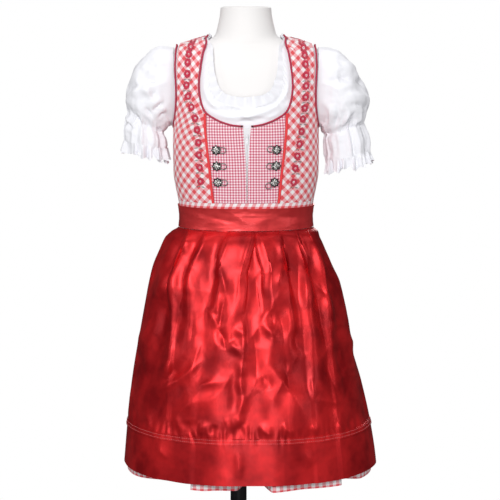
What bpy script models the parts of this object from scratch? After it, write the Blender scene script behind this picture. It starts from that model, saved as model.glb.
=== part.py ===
"""Child's dirndl set on a limbless dress form: blouse, gingham dress and satin apron.

Metres, +Z up. The garment's front faces -Y and +X is on the right of someone who looks at it.
The origin is on the floor, under the middle of the whole thing.
Cloth is a thin closed wall. Its points come from sections of the figure, the sleeves and the
skirts, and each layer lies a little further out than the one beneath it.
"""

import math

import bmesh
import bpy
import numpy as np
from mathutils import Matrix, Vector

MM = 0.001

# Heights above the floor
WAIST = 0.8085
BAND_TOP, BAND_BOTTOM = 0.800, 0.762
BLOUSE_HEM = 0.875
FORM_BOTTOM = 0.585

GARMENT_X, GARMENT_Y = -0.0062, 0.0068   # the figure's middle, from the origin
POLE_X, POLE_Y = -0.0192, 0.0068         # the pole stands a little left of it
SEAM_GAP = 0.3 * MM

# Distances of each cloth's two faces from the form, measured square to it
BLOUSE_FACES = (0.9 * MM, 1.9 * MM)
ZIP_FACES = (2.6 * MM, 3.4 * MM)
BODICE_FACES = (4.2 * MM, 5.8 * MM)
BAND_FACES = (6.6 * MM, 8.2 * MM)
APRON_WALL = 1.2 * MM
SKIRT_WALL = 1.5 * MM
APRON_CLEAR = 1.9 * MM     # from the apron's inner face to the skirt under it

NECK_PIPING_R = 1.2 * MM
SEAM_PIPING_R = 1.7 * MM

# The dress form's sections, which every layer of the bodice and blouse follows
FORM_SECTIONS = (
    # height, half width, front depth, back depth, squareness
    (0.585, 0.060, 0.045, 0.050, 2.0),
    (0.590, 0.088, 0.064, 0.070, 2.1),
    (0.605, 0.106, 0.078, 0.086, 2.15),
    (0.640, 0.119, 0.087, 0.096, 2.2),
    (0.690, 0.118, 0.085, 0.094, 2.2),
    (0.740, 0.109, 0.078, 0.081, 2.2),
    (0.780, 0.1055, 0.076, 0.074, 2.2),
    (0.800, 0.1075, 0.078, 0.074, 2.2),
    (0.822, 0.1115, 0.080, 0.077, 2.25),
    (0.856, 0.1165, 0.084, 0.080, 2.3),
    (0.900, 0.1170, 0.087, 0.084, 2.35),
    (0.927, 0.1165, 0.0875, 0.087, 2.35),
    (0.950, 0.1185, 0.086, 0.088, 2.3),
    (0.980, 0.1240, 0.082, 0.089, 2.3),
    (1.009, 0.1295, 0.076, 0.086, 2.25),
    (1.030, 0.1315, 0.070, 0.079, 2.1),
    (1.045, 0.1290, 0.064, 0.071, 1.9),
    (1.055, 0.1220, 0.060, 0.064, 1.75),
    (1.062, 0.1110, 0.0575, 0.060, 1.65),
    (1.068, 0.0920, 0.0555, 0.057, 1.65),
    (1.0725, 0.0740, 0.0545, 0.055, 1.75),
    (1.077, 0.0610, 0.0530, 0.0535, 1.9),
    (1.084, 0.0550, 0.0510, 0.0515, 2.0),
    (1.098, 0.0510, 0.0485, 0.049, 2.0),
    (1.115, 0.0475, 0.0465, 0.047, 2.0),
    (1.129, 0.0460, 0.0455, 0.046, 2.0),
)
RIDGE_LOW, RIDGE_HIGH = 1.045, 1.0835    # heights between which the shoulder's ridge climbs

# The scooped neckline of the bodice, right half, as half widths at heights
NECKLINE = (
    # height, half width
    (0.9345, 0.0060),
    (0.9350, 0.0150),
    (0.9385, 0.0310),
    (0.9455, 0.0480),
    (0.9585, 0.0650),
    (0.9750, 0.0715),
    (0.9970, 0.0745),
    (1.0260, 0.0725),
    (1.0500, 0.0685),
    (1.0650, 0.0635),
)
NECK_RIDGE_X = 0.0600      # where the neckline crosses the top of the shoulder
BACK_NECKLINE = (
    # height, half width
    (1.0320, 0.0000),
    (1.0330, 0.0200),
    (1.0370, 0.0380),
    (1.0455, 0.0520),
    (1.0600, 0.0590),
)
PRINCESS = (
    # height, distance from the centre of the front seams beside the small-check panels
    (0.8085, 0.0520),
    (0.8300, 0.0545),
    (0.8570, 0.0570),
    (0.8840, 0.0600),
    (0.9140, 0.0630),
    (0.9310, 0.0643),
    (0.9585, 0.0650),
)
BACK_PRINCESS = (
    # height, distance from the back's middle of its two curved seams, downwards
    (0.9300, 0.0700),
    (0.8650, 0.0530),
    (0.8085, 0.0460),
)
BACK_PRINCESS_TURN = 118   # degrees round the armhole where the back's curved seam starts
ZIP_X = 0.0020             # the front opening lies a little right of the middle
FRONT_GAP = (
    # height, half width of the gap that shows the zip
    (0.8085, 0.0006),
    (0.8720, 0.0019),
    (0.8960, 0.0034),
    (0.9345, 0.0064),
)

NECK_TURN_HEIGHT = 0.974    # below it the neckline still widens
NECKLINE_AT_SEAM = 0.9585   # where the front seams meet it
EDGE_SPARE = 0.60 * MM      # for the straight sides that stand in for curved edges
NECK_INSET = NECK_PIPING_R + SEAM_GAP + EDGE_SPARE
SEAM_INSET = SEAM_PIPING_R + SEAM_GAP + EDGE_SPARE / 3
SIDE_SEAM_TURN = 0.0014     # half the side seams' gap, as an angle
ARMHOLE_STEPS = 24

# Armholes as ovals seen from the side
BODICE_ARMHOLE = {"height": 0.9950, "half_height": 0.0660, "half_depth": 0.0440}
BLOUSE_ARMHOLE = {"height": 0.9960, "half_height": 0.0615, "half_depth": 0.0380}
SHOULDER_SEAM_TURN = 14    # degrees before the ridge where front and back are joined
SHOULDER_SEAM_DROP = 2.2 * MM

# The blouse's gathered neckline and the frill that stands above it, right half
BLOUSE_NECKLINE = (
    # height, half width
    (0.9655, 0.0000),
    (0.9665, 0.0150),
    (0.9700, 0.0300),
    (0.9790, 0.0460),
    (0.9950, 0.0550),
    (1.0150, 0.0580),
    (1.0400, 0.0580),
    (1.0600, 0.0572),
)
BLOUSE_RIDGE_X = 0.0568    # where the neckline crosses the top of the shoulder
BLOUSE_UNDERARM_COLUMN = 8  # the column that starts under the armhole
BLOUSE_SIDE_SPANS = 2
BLOUSE_BACK_NECKLINE = (
    # height, half width
    (1.0450, 0.0000),
    (1.0460, 0.0200),
    (1.0500, 0.0370),
    (1.0580, 0.0480),
    (1.0680, 0.0540),
)
FRILL_HEIGHTS = (
    # share of the way from the front's middle to the back's, height of the frill
    (0.00, 0.0175),
    (0.15, 0.0160),
    (0.30, 0.0090),
    (0.45, 0.0060),
    (0.55, 0.0040),
    (0.70, 0.0060),
    (1.00, 0.0100),
)
FRILL_WAVES = 44
FRILL_STAND = (3.7 * MM, 6.2 * MM)   # outer face's distance from the form, by row
FRILL_DEPTH = (0.2 * MM, 2.0 * MM)   # half height of its waves, by row
FRILL_GAP = 0.9 * MM
FRILL_WALL = 1.0 * MM

# The sleeves, each a row of rings from an outer to an inner point seen from the front
SLEEVE_RIGHT = (
    # outer x, outer z, inner x, inner z, half depth, gather depth
    (0.139, 1.0600, 0.1275, 0.9290, 0.0500, 0.0020),
    (0.164, 1.0490, 0.1280, 0.9270, 0.0560, 0.0030),
    (0.188, 1.0110, 0.1285, 0.9260, 0.0570, 0.0030),
    (0.204, 0.9700, 0.1285, 0.9240, 0.0510, 0.0030),
    (0.200, 0.9420, 0.1310, 0.9180, 0.0420, 0.0030),
    (0.200, 0.9310, 0.1325, 0.9080, 0.0410, 0.0035),
    (0.206, 0.9080, 0.1340, 0.8870, 0.0440, 0.0045),
    (0.208, 0.8880, 0.1350, 0.8720, 0.0430, 0.0030),
)
SLEEVE_LEFT = (
    # outer x, outer z, inner x, inner z, half depth, gather depth
    (-0.141, 1.0620, -0.1275, 0.9330, 0.0500, 0.0020),
    (-0.164, 1.0490, -0.1290, 0.9320, 0.0560, 0.0030),
    (-0.187, 1.0190, -0.1320, 0.9310, 0.0570, 0.0030),
    (-0.199, 0.9840, -0.1350, 0.9280, 0.0520, 0.0030),
    (-0.198, 0.9580, -0.1375, 0.9220, 0.0430, 0.0030),
    (-0.198, 0.9420, -0.1375, 0.9120, 0.0400, 0.0035),
    (-0.200, 0.9220, -0.1365, 0.9000, 0.0430, 0.0045),
    (-0.200, 0.9070, -0.1370, 0.8930, 0.0420, 0.0030),
)
SLEEVE_WALL = 1.0 * MM
SLEEVE_SET_IN = 2.6 * MM
SLEEVE_COLUMNS = 36
SLEEVE_GATHERS = 12
CUFF_WAVES = 12
CUFF_ROWS = (
    # distance below the elastic, flare, half height of the waves
    (0.0009, 0.0000, 0.0030),
    (0.0090, 0.0010, 0.0042),
    (0.0190, 0.0025, 0.0055),
)

# The apron's outline: half width, front and back depth of its outer face, and sideways shift
SKIRT_OUTLINE = (
    # height, half width, front depth, back depth, shift to the right
    (0.7745, 0.1135, 0.0835, 0.0830, 0.000),
    (0.7620, 0.1140, 0.0840, 0.0860, 0.000),
    (0.7540, 0.1240, 0.0920, 0.0910, -0.002),
    (0.7420, 0.1320, 0.1000, 0.0960, -0.006),
    (0.7200, 0.1420, 0.1090, 0.1050, -0.006),
    (0.7030, 0.1495, 0.1160, 0.1110, -0.006),
    (0.6680, 0.1620, 0.1270, 0.1210, -0.003),
    (0.6340, 0.1695, 0.1360, 0.1290, -0.002),
    (0.5640, 0.1815, 0.1510, 0.1430, -0.003),
    (0.4950, 0.1970, 0.1640, 0.1550, 0.001),
    (0.4240, 0.2090, 0.1740, 0.1650, 0.005),
    (0.3580, 0.2170, 0.1800, 0.1720, 0.007),
    (0.3450, 0.2180, 0.1810, 0.1730, 0.007),
)
SKIRT_SQUARENESS = 2.2

# The apron's pleats. A pleat's edge is where one side of the cloth lies over the other.
APRON_SIDE_ANGLES = (4, 176)     # degrees round from +X, of the apron's two side hems
APRON_PLEATS = (
    # x at the band, x at 0.70, x at 0.60, x at the hem, level on the left, level on the right
    (-0.0960, -0.1200, -0.1330, -0.1600, -1.0, 1.0),
    (-0.0680, -0.0930, -0.1020, -0.1120, -1.0, 1.0),
    (-0.0280, -0.0480, -0.0540, -0.0640, -1.0, 1.0),
    (0.0120, -0.0020, -0.0100, -0.0140, 1.0, -1.0),
    (0.0180, 0.0330, 0.0330, 0.0330, -1.0, 1.0),
    (0.0560, 0.0720, 0.0810, 0.0920, 1.0, -1.0),
    (0.0850, 0.1050, 0.1190, 0.1370, 1.0, -1.0),
    (0.1040, 0.1290, 0.1480, 0.1760, 1.0, -1.0),
)
APRON_FOLD_HEIGHTS = (0.758, 0.70, 0.60, 0.358)
APRON_FOLD_DEPTHS = (
    # height, half the step at a pleat's edge, width of that step
    (0.358, 0.0026, 0.0300),
    (0.430, 0.0022, 0.0300),
    (0.520, 0.0040, 0.0280),
    (0.620, 0.0050, 0.0200),
    (0.700, 0.0046, 0.0080),
    (0.745, 0.0034, 0.0045),
    (0.7617, 0.0006, 0.0040),
)

# The skirt's hem seen from above: folds come forward at some angles and fall back at others
SKIRT_FOLDS = (
    # degrees round from +X, share of the apron's outline
    (0, 0.955), (10, 0.958), (25, 0.95), (31, 0.80), (36, 0.79), (40, 0.955), (50, 0.93),
    (60, 0.905), (70, 0.935), (78, 0.960), (81, 0.66), (90, 0.62), (94, 0.66), (98, 0.885),
    (108, 0.90), (117, 0.945), (122, 0.945), (127, 0.70), (138, 0.68), (147, 0.82),
    (160, 0.945), (172, 0.965), (180, 0.970), (188, 0.975), (196, 0.980), (203, 0.83), (209, 0.82),
    (216, 0.985), (226, 1.0), (234, 0.975), (240, 0.78), (247, 0.77), (253, 0.97),
    (262, 1.0), (271, 0.98), (277, 0.76), (284, 0.76), (290, 0.97), (299, 1.0),
    (308, 0.98), (314, 0.79), (320, 0.80), (327, 0.985), (338, 1.0), (350, 0.960),
)
SKIRT_FOLD_GROWTH = (
    # height, share of the hem's folds that is there
    (0.3450, 1.00),
    (0.4500, 0.86),
    (0.5600, 0.66),
    (0.6600, 0.44),
    (0.7200, 0.28),
    (0.7500, 0.12),
    (0.7745, 0.00),
)
SKIRT_TUCK = (
    # height, how much further in the skirt lies, to pass behind the apron's band
    (0.7450, 0.0),
    (0.7600, 0.0010),
    (0.7745, 0.0010),
)
SKIRT_ROWS = (0.7742, 0.7610, 0.7420, 0.7050, 0.6400, 0.5500, 0.4500, 0.3450)
APRON_ROWS = (0.7617, 0.7480, 0.7300, 0.7000, 0.6400, 0.5600, 0.4900, 0.4350, 0.4250, 0.3580)
TUCK_ROWS = (0.4350, 0.4250)
TUCK_LIFT, TUCK_WALL = 0.35 * MM, 1.0 * MM
SKIRT_STEP = 9              # degrees between folds that get a column between them
SKIRT_SEAM = 0.09           # half the side seams' gap, in degrees
APRON_COLUMNS_BETWEEN = 2
LEAST_MITRE = 0.72          # a fold's corner is moved out at most by the wall over this
UNDERARM_COLUMNS, UNDERARM_SAG = 3.0, 0.30   # how wide, and how much, the blouse passes below the arm
NECK_ROW_POWER = 1.35       # rows lie closer together near a neckline, where it curves most
WAISTBAND_BOTTOM = 0.7747
WAIST_TURNS = tuple(range(-85, 275, 10))   # degrees, of the columns of both waistbands

# Metal ornaments on the front panels: distance from the zip, height, turn of the ring's side
HOOKS = (
    # name, x, height, ring's direction in degrees from the middle of the front
    ("hook_left_1", -0.0470, 0.8960, 0),
    ("hook_left_2", -0.0462, 0.8700, 0),
    ("hook_left_3", -0.0447, 0.8435, 0),
    ("hook_right_1", 0.0490, 0.8965, 172),
    ("hook_right_2", 0.0480, 0.8705, 180),
    ("hook_right_3", 0.0455, 0.8435, 208),
)
HOOK_R, HOOK_PETAL, HOOK_THICK = 5.9 * MM, 1.3 * MM, 2.6 * MM
HOOK_PETALS = 6
RING_R, RING_WIRE = 4.6 * MM, 0.85 * MM

# The apron's bow, behind
BOW_HEIGHT = 0.781
KNOT_W, KNOT_H, KNOT_T, KNOT_ROUND = 0.024, 0.030, 0.012, 0.004
KNOT_STAND = 2.0 * MM
LOOP_REACH, LOOP_DROP, LOOP_BULGE = 0.088, 0.018, 0.0055
LOOP_W, LOOP_ROOT_W = 0.036, 0.024
LOOP_POINTS = 13
TAIL_W, TAIL_ROOT_W, TAIL_LENGTH = 0.038, 0.011, 0.265
TAIL_START, TAIL_SPREAD = 0.0058, 0.030    # distance of a tail's middle from the knot's, and its growth
TAIL_ROWS = 8
TAIL_SPREAD_POWER = 0.7                    # most of the spread comes just below the knot
TAIL_FULL_AT = 1 / 3                       # share of its length where a tail has its full width
RIBBON_T = 1.2 * MM
BOW_RETREAT = 0.006         # how far the loops' ends lean back towards the skirt
TAIL_CLEAR = 0.002

# Zip
ZIP_TAPE_WIDTH = 0.0090
ZIP_TOP = 0.9320
SLIDER_HEIGHT = 0.9185
SLIDER_W, SLIDER_L, SLIDER_T = 5.0 * MM, 8.0 * MM, 1.6 * MM
PULL_W, PULL_L, PULL_T = 3.2 * MM, 13.0 * MM, 0.8 * MM
EYE_BAR, EYE_SPACE = 0.9 * MM, 1.8 * MM
PULL_HOLE_W, PULL_HOLE_L = 1.8 * MM, 3.2 * MM
ZIP_SPLIT = 0.5 * MM

# Stand
FORM_SIDES = 24
FORM_INSET = 4.1 * MM         # its own surface lies that far inside the sections above
BASE_R, BASE_T = 0.160, 0.010
FLANGE_R, FLANGE_TUBE_R, FLANGE_T, FLANGE_LENGTH = 0.040, 0.021, 0.005, 0.045
POLE_R = 0.014
BASE_ROUND = 0.003
BOSS_R, BOSS_TOP = 0.026, 0.050
SOCKET_DEPTH = 0.035
BASE_SIDES, POLE_SIDES = 30, 18

COLOURS = {
    # name: colour, roughness, metallic
    "form": ((0.86, 0.84, 0.83), 0.45, 0.0),
    "steel_black": ((0.02, 0.02, 0.022), 0.35, 0.6),
    "white_cotton": ((0.88, 0.88, 0.92), 0.9, 0.0),
    "gingham": ((0.86, 0.35, 0.36), 0.85, 0.0),
    "small_check": ((0.84, 0.45, 0.50), 0.85, 0.0),
    "piping_dark": ((0.42, 0.03, 0.07), 0.5, 0.0),
    "piping_red": ((0.80, 0.05, 0.06), 0.6, 0.0),
    "satin_red": ((0.72, 0.02, 0.03), 0.3, 0.0),
    "antique_silver": ((0.35, 0.34, 0.32), 0.35, 0.9),
    "zip_white": ((0.85, 0.85, 0.87), 0.7, 0.0),
}


def clear_scene():
    for thing in list(bpy.data.objects):
        bpy.data.objects.remove(thing)


def material(name):
    """The material of that name, made on first use."""
    found = bpy.data.materials.get(name)
    if found:
        return found
    colour, roughness, metallic = COLOURS[name]
    made = bpy.data.materials.new(name)
    made.use_nodes = True
    shader = made.node_tree.nodes["Principled BSDF"]
    shader.inputs["Base Color"].default_value = (*colour, 1.0)
    shader.inputs["Roughness"].default_value = roughness
    shader.inputs["Metallic"].default_value = metallic
    return made


def place(name, mesh, finish):
    """A new object that shows the mesh in that finish."""
    made = bpy.data.objects.new(name, mesh)
    bpy.context.scene.collection.objects.link(made)
    if not mesh.materials:
        mesh.materials.append(material(finish))
    return made


def closed_mesh(name, points, faces):
    """A mesh of those faces, turned to face outwards and shaded smooth."""
    mesh = bpy.data.meshes.new(name)
    mesh.from_pydata([tuple(p) for p in points], [], faces)
    shaped = bmesh.new()
    shaped.from_mesh(mesh)
    bmesh.ops.recalc_face_normals(shaped, faces=shaped.faces)
    shaped.to_mesh(mesh)
    shaped.free()
    mesh.shade_smooth()
    mesh.set_sharp_from_angle(angle=math.radians(50))
    return mesh


def curve_through(table):
    """A smooth function through the table's rows, with the first column as its input.

    Between rows it is a cubic whose slopes never overshoot the table."""
    rows = np.array(sorted(table, key=lambda row: row[0]), float)
    inputs, values = rows[:, 0], rows[:, 1:]
    steps = np.diff(inputs)[:, None]
    rises = np.diff(values, axis=0) / steps
    slopes = np.empty_like(values)
    slopes[0], slopes[-1] = rises[0], rises[-1]
    before, after = rises[:-1], rises[1:]
    same_way = before * after > 0
    total = np.where(same_way, before + after, 1.0)
    slopes[1:-1] = np.where(same_way, 2 * before * after / total, 0.0)

    def value(at):
        at = np.clip(np.asarray(at, float), inputs[0], inputs[-1])
        index = np.clip(np.searchsorted(inputs, at, side="right") - 1, 0, len(inputs) - 2)
        width = steps[index, 0][..., None]
        share = ((at - inputs[index])[..., None]) / width
        start, end = values[index], values[index + 1]
        rise_in, rise_out = slopes[index] * width, slopes[index + 1] * width
        square, cube = share**2, share**3
        return (
            start * (2 * cube - 3 * square + 1)
            + rise_in * (cube - 2 * square + share)
            + end * (3 * square - 2 * cube)
            + rise_out * (cube - square)
        )

    return value


def oval_radius(angle, half_width, front, back, squareness):
    """Distance from the axis to an oval section, whose front half faces -Y."""
    depth = np.where(np.sin(angle) >= 0, front, back)
    wide = (np.abs(np.cos(angle)) / half_width) ** squareness
    deep = (np.abs(np.sin(angle)) / depth) ** squareness
    return (wide + deep) ** (-1 / squareness)


form_section = curve_through(FORM_SECTIONS)


def form_point(angle, height):
    """Points of the form's surface. Angle 0 is +X and 90 degrees is the front."""
    half_width, front, back, squareness = np.moveaxis(form_section(height), -1, 0)
    radius = oval_radius(angle, half_width, front, back, squareness)
    return np.stack([
        GARMENT_X + radius * np.cos(angle), GARMENT_Y - radius * np.sin(angle),
        height + 0 * radius,
    ], -1)


def cloth_point(angle, height, off):
    """Points that far outside the form, square to its surface."""
    angle, height = np.broadcast_arrays(np.asarray(angle, float), np.asarray(height, float))
    turn, rise = 2e-3, 0.5 * MM
    around = form_point(angle + turn, height) - form_point(angle - turn, height)
    upward = form_point(angle, height + rise) - form_point(angle, height - rise)
    normal = np.cross(upward, around)
    normal /= np.linalg.norm(normal, axis=-1, keepdims=True)
    off = np.broadcast_to(np.asarray(off, float), angle.shape)[..., None]
    return form_point(angle, height) + normal * off


def seen_from_front(x, height, back=False):
    """(angle, height) of the surface point at x from the middle, on the front or the back."""
    half_width, front, rear, squareness = form_section(height)
    depth = rear if back else front
    share = min(abs(x) / half_width, 1.0)
    y = depth * (1 - share**squareness) ** (1 / squareness)
    angle = math.atan2(y, x)
    return np.array([-angle if back else angle, height])


def seen_from_side(y, height):
    """(angle, height) of the right side's surface point at depth y, front depths negative."""
    half_width, front, rear, squareness = form_section(height)
    depth = front if y < 0 else rear
    share = min(abs(y) / depth, 1.0)
    x = half_width * (1 - share**squareness) ** (1 / squareness)
    return np.array([math.atan2(-y, x), height])


def ridge(x):
    """(angle, height) of the top of the shoulder at x from the middle."""
    low, high = RIDGE_LOW, RIDGE_HIGH
    for _ in range(40):
        middle = (low + high) / 2
        if form_section(middle)[0] > x:
            low = middle
        else:
            high = middle
    return np.array([0.0, low])


def armhole(oval, turn, grown=0.0):
    """(angle, height) on an armhole, turned from the shoulder (0) by the front to below (180)."""
    turn = math.radians(turn)
    y = -(oval["half_depth"] + grown) * math.sin(turn)
    return seen_from_side(y, oval["height"] + (oval["half_height"] + grown) * math.cos(turn))


def seam_end(oval, x, grown=0.0):
    """The shoulder seam's two ends, at the neck and at the armhole."""
    top = ridge(x + grown)
    y = -oval["half_depth"] * math.sin(math.radians(SHOULDER_SEAM_TURN))
    at_neck = np.array([math.atan2(-y, x + grown), top[1] - SHOULDER_SEAM_DROP])
    return at_neck, armhole(oval, SHOULDER_SEAM_TURN, grown)


def path(points):
    """A function that runs along the points, smoothly, as its input goes from 0 to 1.

    Each point is (angle, height). Equal shares of the input cover equal shares of length."""
    points = np.array(points)
    where = form_point(points[:, 0], points[:, 1])
    steps = np.linalg.norm(np.diff(where, axis=0), axis=1)
    along = np.concatenate([[0], np.cumsum(steps)]) / steps.sum()
    return curve_through(np.column_stack([along, points]))


def sampled(*stretches):
    """Points along several paths in a row, each given as (path, number of spans)."""
    out = [stretches[0][0](np.array([0.0]))]
    for stretch, spans in stretches:
        out.append(stretch(np.linspace(0, 1, spans + 1)[1:]))
    return np.concatenate(out)


def moved_aside(rows, distance):
    """(height, x) rows moved square to their line as seen from the front, to its right side."""
    line = np.array([(x, z) for z, x in rows])
    ahead = np.gradient(line, axis=0)
    if line[0, 0] == 0:
        ahead[0] = (1, 0)
    ahead /= np.linalg.norm(ahead, axis=1, keepdims=True)
    moved = line + distance * np.column_stack([ahead[:, 1], -ahead[:, 0]])
    return [(z, x) for x, z in moved]


def crossing(neckline, seam):
    """(x, height) where a neckline and an upright seam meet, both as (height, x) rows."""
    rising = [(x, z) for z, x in neckline if z < NECK_TURN_HEIGHT]
    height_at, x_at = curve_through(rising), curve_through(seam)
    height = rising[-1][1]
    for _ in range(30):
        x = float(x_at(height)[0])
        height = float(height_at(x)[0])
    return x, height


def mirrored(points, back=False):
    """The same (angle, height) points on the other side of the figure."""
    return points * [-1, 1] + [-math.pi if back else math.pi, 0]


def patch(bottom, top, left, right):
    """(angle, height) for a grid between four rows of points, left and right running upwards."""
    across = np.linspace(0, 1, len(bottom))[None, :, None]
    along = np.linspace(0, 1, len(left))[:, None, None]
    blend = (1 - along) * bottom[None] + along * top[None]
    blend = blend + (1 - across) * left[:, None] + across * right[:, None]
    corners = (
        (1 - across) * (1 - along) * bottom[0]
        + across * (1 - along) * bottom[-1]
        + (1 - across) * along * top[0]
        + across * along * top[-1]
    )
    return blend - corners


def wrapped_round_neck(outer, inner, rows, back=False, below_arm=None):
    """A grid from a neckline out to a panel's other edges, from one shoulder to the other.

    Both come as the right half's points, from the shoulder seam to the middle. Columns that
    start near the below_arm point first run level, to pass under the armhole."""
    share = 1 - np.linspace(1, 0, rows + 1)[:, None, None] ** NECK_ROW_POWER
    half = outer[None] * (1 - share) + inner[None] * share
    if below_arm is not None:
        near = np.exp(-(((np.arange(len(outer)) - below_arm) / UNDERARM_COLUMNS) ** 2))
        sag = UNDERARM_SAG * near[None, :] * (4 * share * (1 - share))[..., 0]
        half[..., 1] -= sag * (inner[:, 1] - outer[:, 1])
    return np.concatenate([half, mirrored(half, back)[:, -2::-1]], axis=1)


def drawn_in(grid, bottom=0.0, top=0.0, left=0.0, right=0.0):
    """The grid with its edges moved in along the surface by those distances."""
    grid = grid.copy()
    for edge, inner, distance in ((0, 1, bottom), (-1, -2, top)):
        grid[edge] = moved_towards(grid[edge], grid[inner], distance)
    for edge, inner, distance in ((0, 1, left), (-1, -2, right)):
        grid[:, edge] = moved_towards(grid[:, edge], grid[:, inner], distance)
    return grid


def moved_towards(edge, inner, distance):
    span = form_point(inner[:, 0], inner[:, 1]) - form_point(edge[:, 0], edge[:, 1])
    share = distance / np.linalg.norm(span, axis=1)
    return edge + (inner - edge) * share[:, None]


def grid_normals(grid, wrap):
    """Outward directions of a grid of points, and how much longer a mitred offset is there."""
    around = np.concatenate([grid[:, -1:], grid, grid[:, :1]], axis=1) if wrap else grid
    steps = np.diff(around, axis=1)
    if not wrap:
        steps = np.concatenate([steps[:, :1], steps, steps[:, -1:]], axis=1)
    along = np.gradient(grid, axis=0)
    before, after = np.cross(steps[:, :-1], along), np.cross(steps[:, 1:], along)
    before /= np.linalg.norm(before, axis=-1, keepdims=True)
    after /= np.linalg.norm(after, axis=-1, keepdims=True)
    normal = before + after
    normal /= np.linalg.norm(normal, axis=-1, keepdims=True)
    longer = 1 / np.maximum((normal * after).sum(-1, keepdims=True), LEAST_MITRE)
    if (normal * (grid - grid.mean((0, 1)))).sum() < 0:
        normal = -normal
    return normal, longer


def moved_out(grid, distance, wrap=False):
    """The grid moved outwards, or inwards where the distance is negative."""
    normal, longer = grid_normals(grid, wrap)
    return grid + normal * longer * distance


def wall(name, outer, inner, finish, wrap=False):
    """A closed wall between two grids of points. With wrap, its last column meets its first."""
    rows, columns = outer.shape[:2]
    points = np.concatenate([outer.reshape(-1, 3), inner.reshape(-1, 3)])
    count = rows * columns

    def at(row, column, side):
        return side * count + row * columns + column % columns

    faces = []
    spans = columns if wrap else columns - 1
    for row in range(rows - 1):
        for column in range(spans):
            for side in (0, 1):
                faces.append([
                    at(row, column, side),
                    at(row, column + 1, side),
                    at(row + 1, column + 1, side),
                    at(row + 1, column, side),
                ])
    for row in (0, rows - 1):
        for column in range(spans):
            faces.append([
                at(row, column, 0), at(row, column + 1, 0),
                at(row, column + 1, 1), at(row, column, 1),
            ])
    if not wrap:
        for column in (0, columns - 1):
            for row in range(rows - 1):
                faces.append([
                    at(row, column, 0), at(row + 1, column, 0),
                    at(row + 1, column, 1), at(row, column, 1),
                ])
    return place(name, closed_mesh(name, points, faces), finish)


def panel(name, grid, faces, finish, wrap=False):
    """A wall of cloth over the (angle, height) grid, between its two distances from the form."""
    inner, outer = (cloth_point(grid[..., 0], grid[..., 1], off) for off in faces)
    return wall(name, outer, inner, finish, wrap)


def tube(name, centres, radius, finish, sides=6, closed=False):
    """A round cord through the points, with flat ends unless it is closed."""
    centres = np.asarray(centres)
    if closed:
        ahead = np.roll(centres, -1, axis=0) - np.roll(centres, 1, axis=0)
    else:
        ahead = np.gradient(centres, axis=0)
    ahead /= np.linalg.norm(ahead, axis=1, keepdims=True)
    middle = centres.mean(0)
    rings = []
    for centre, forward in zip(centres, ahead):
        across = centre - middle
        across -= forward * (across @ forward)
        across /= np.linalg.norm(across)
        up = np.cross(forward, across)
        turns = np.arange(sides) * 2 * math.pi / sides
        rings.append(
            centre + radius * (np.outer(np.cos(turns), across) + np.outer(np.sin(turns), up))
        )
    points = np.concatenate(rings)
    faces = []
    if not closed:
        faces = [list(range(sides)), list(range(len(points) - sides, len(points)))]
    for ring in range(len(rings) if closed else len(rings) - 1):
        after = (ring + 1) % len(rings)
        for k in range(sides):
            n = (k + 1) % sides
            faces.append([
                ring * sides + k, ring * sides + n, after * sides + n, after * sides + k,
            ])
    return place(name, closed_mesh(name, points, faces), finish)


def ring_stack(name, rings, finish):
    """A closed solid through rings of equal length, capped flat at both ends."""
    count = rings.shape[1]
    faces = [list(range(count)), list(range((len(rings) - 1) * count, len(rings) * count))]
    for ring in range(len(rings) - 1):
        for k in range(count):
            a, b = ring * count + k, ring * count + (k + 1) % count
            faces.append([a, b, b + count, a + count])
    return place(name, closed_mesh(name, rings.reshape(-1, 3), faces), finish)


def turned(name, profile, finish, sides):
    """A solid turned round the pole's axis from (radius, height) points."""
    turns = np.arange(sides) * 2 * math.pi / sides
    points, starts = [], []
    for radius, height in profile:
        starts.append(len(points))
        spread = turns if radius else turns[:1]
        points += [
            (POLE_X + radius * math.cos(t), POLE_Y + radius * math.sin(t), height)
            for t in spread
        ]
    faces = []
    looped = profile[0] == profile[-1]
    for k in range(len(profile) - 1):
        low, high = starts[k], starts[k + 1]
        if looped and k == len(profile) - 2:
            high = starts[0]
        for s in range(sides):
            n = (s + 1) % sides
            if profile[k][0] == 0:
                faces.append([low, high + s, high + n])
            elif profile[k + 1][0] == 0:
                faces.append([low + s, low + n, high])
            else:
                faces.append([low + s, low + n, high + n, high + s])
    if looped:
        points = points[: starts[-1]]
    return place(name, closed_mesh(name, points, faces), finish)


def box(corners_low, corners_high):
    """Points and faces of a box."""
    (x0, y0, z0), (x1, y1, z1) = corners_low, corners_high
    points = [(x, y, z) for x in (x0, x1) for y in (y0, y1) for z in (z0, z1)]
    faces = [[0, 1, 3, 2], [4, 6, 7, 5], [0, 4, 5, 1], [2, 3, 7, 6], [0, 2, 6, 4], [1, 5, 7, 3]]
    return points, faces


def united(base, others):
    """The base solid joined with the others, which stay as hidden guides."""
    for k, other in enumerate(others):
        join = base.modifiers.new(f"join_{k}", "BOOLEAN")
        join.operation = "UNION"
        join.object = other
        other.hide_render = True
        other.display_type = "WIRE"
    return base


# The stand and the form

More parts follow.
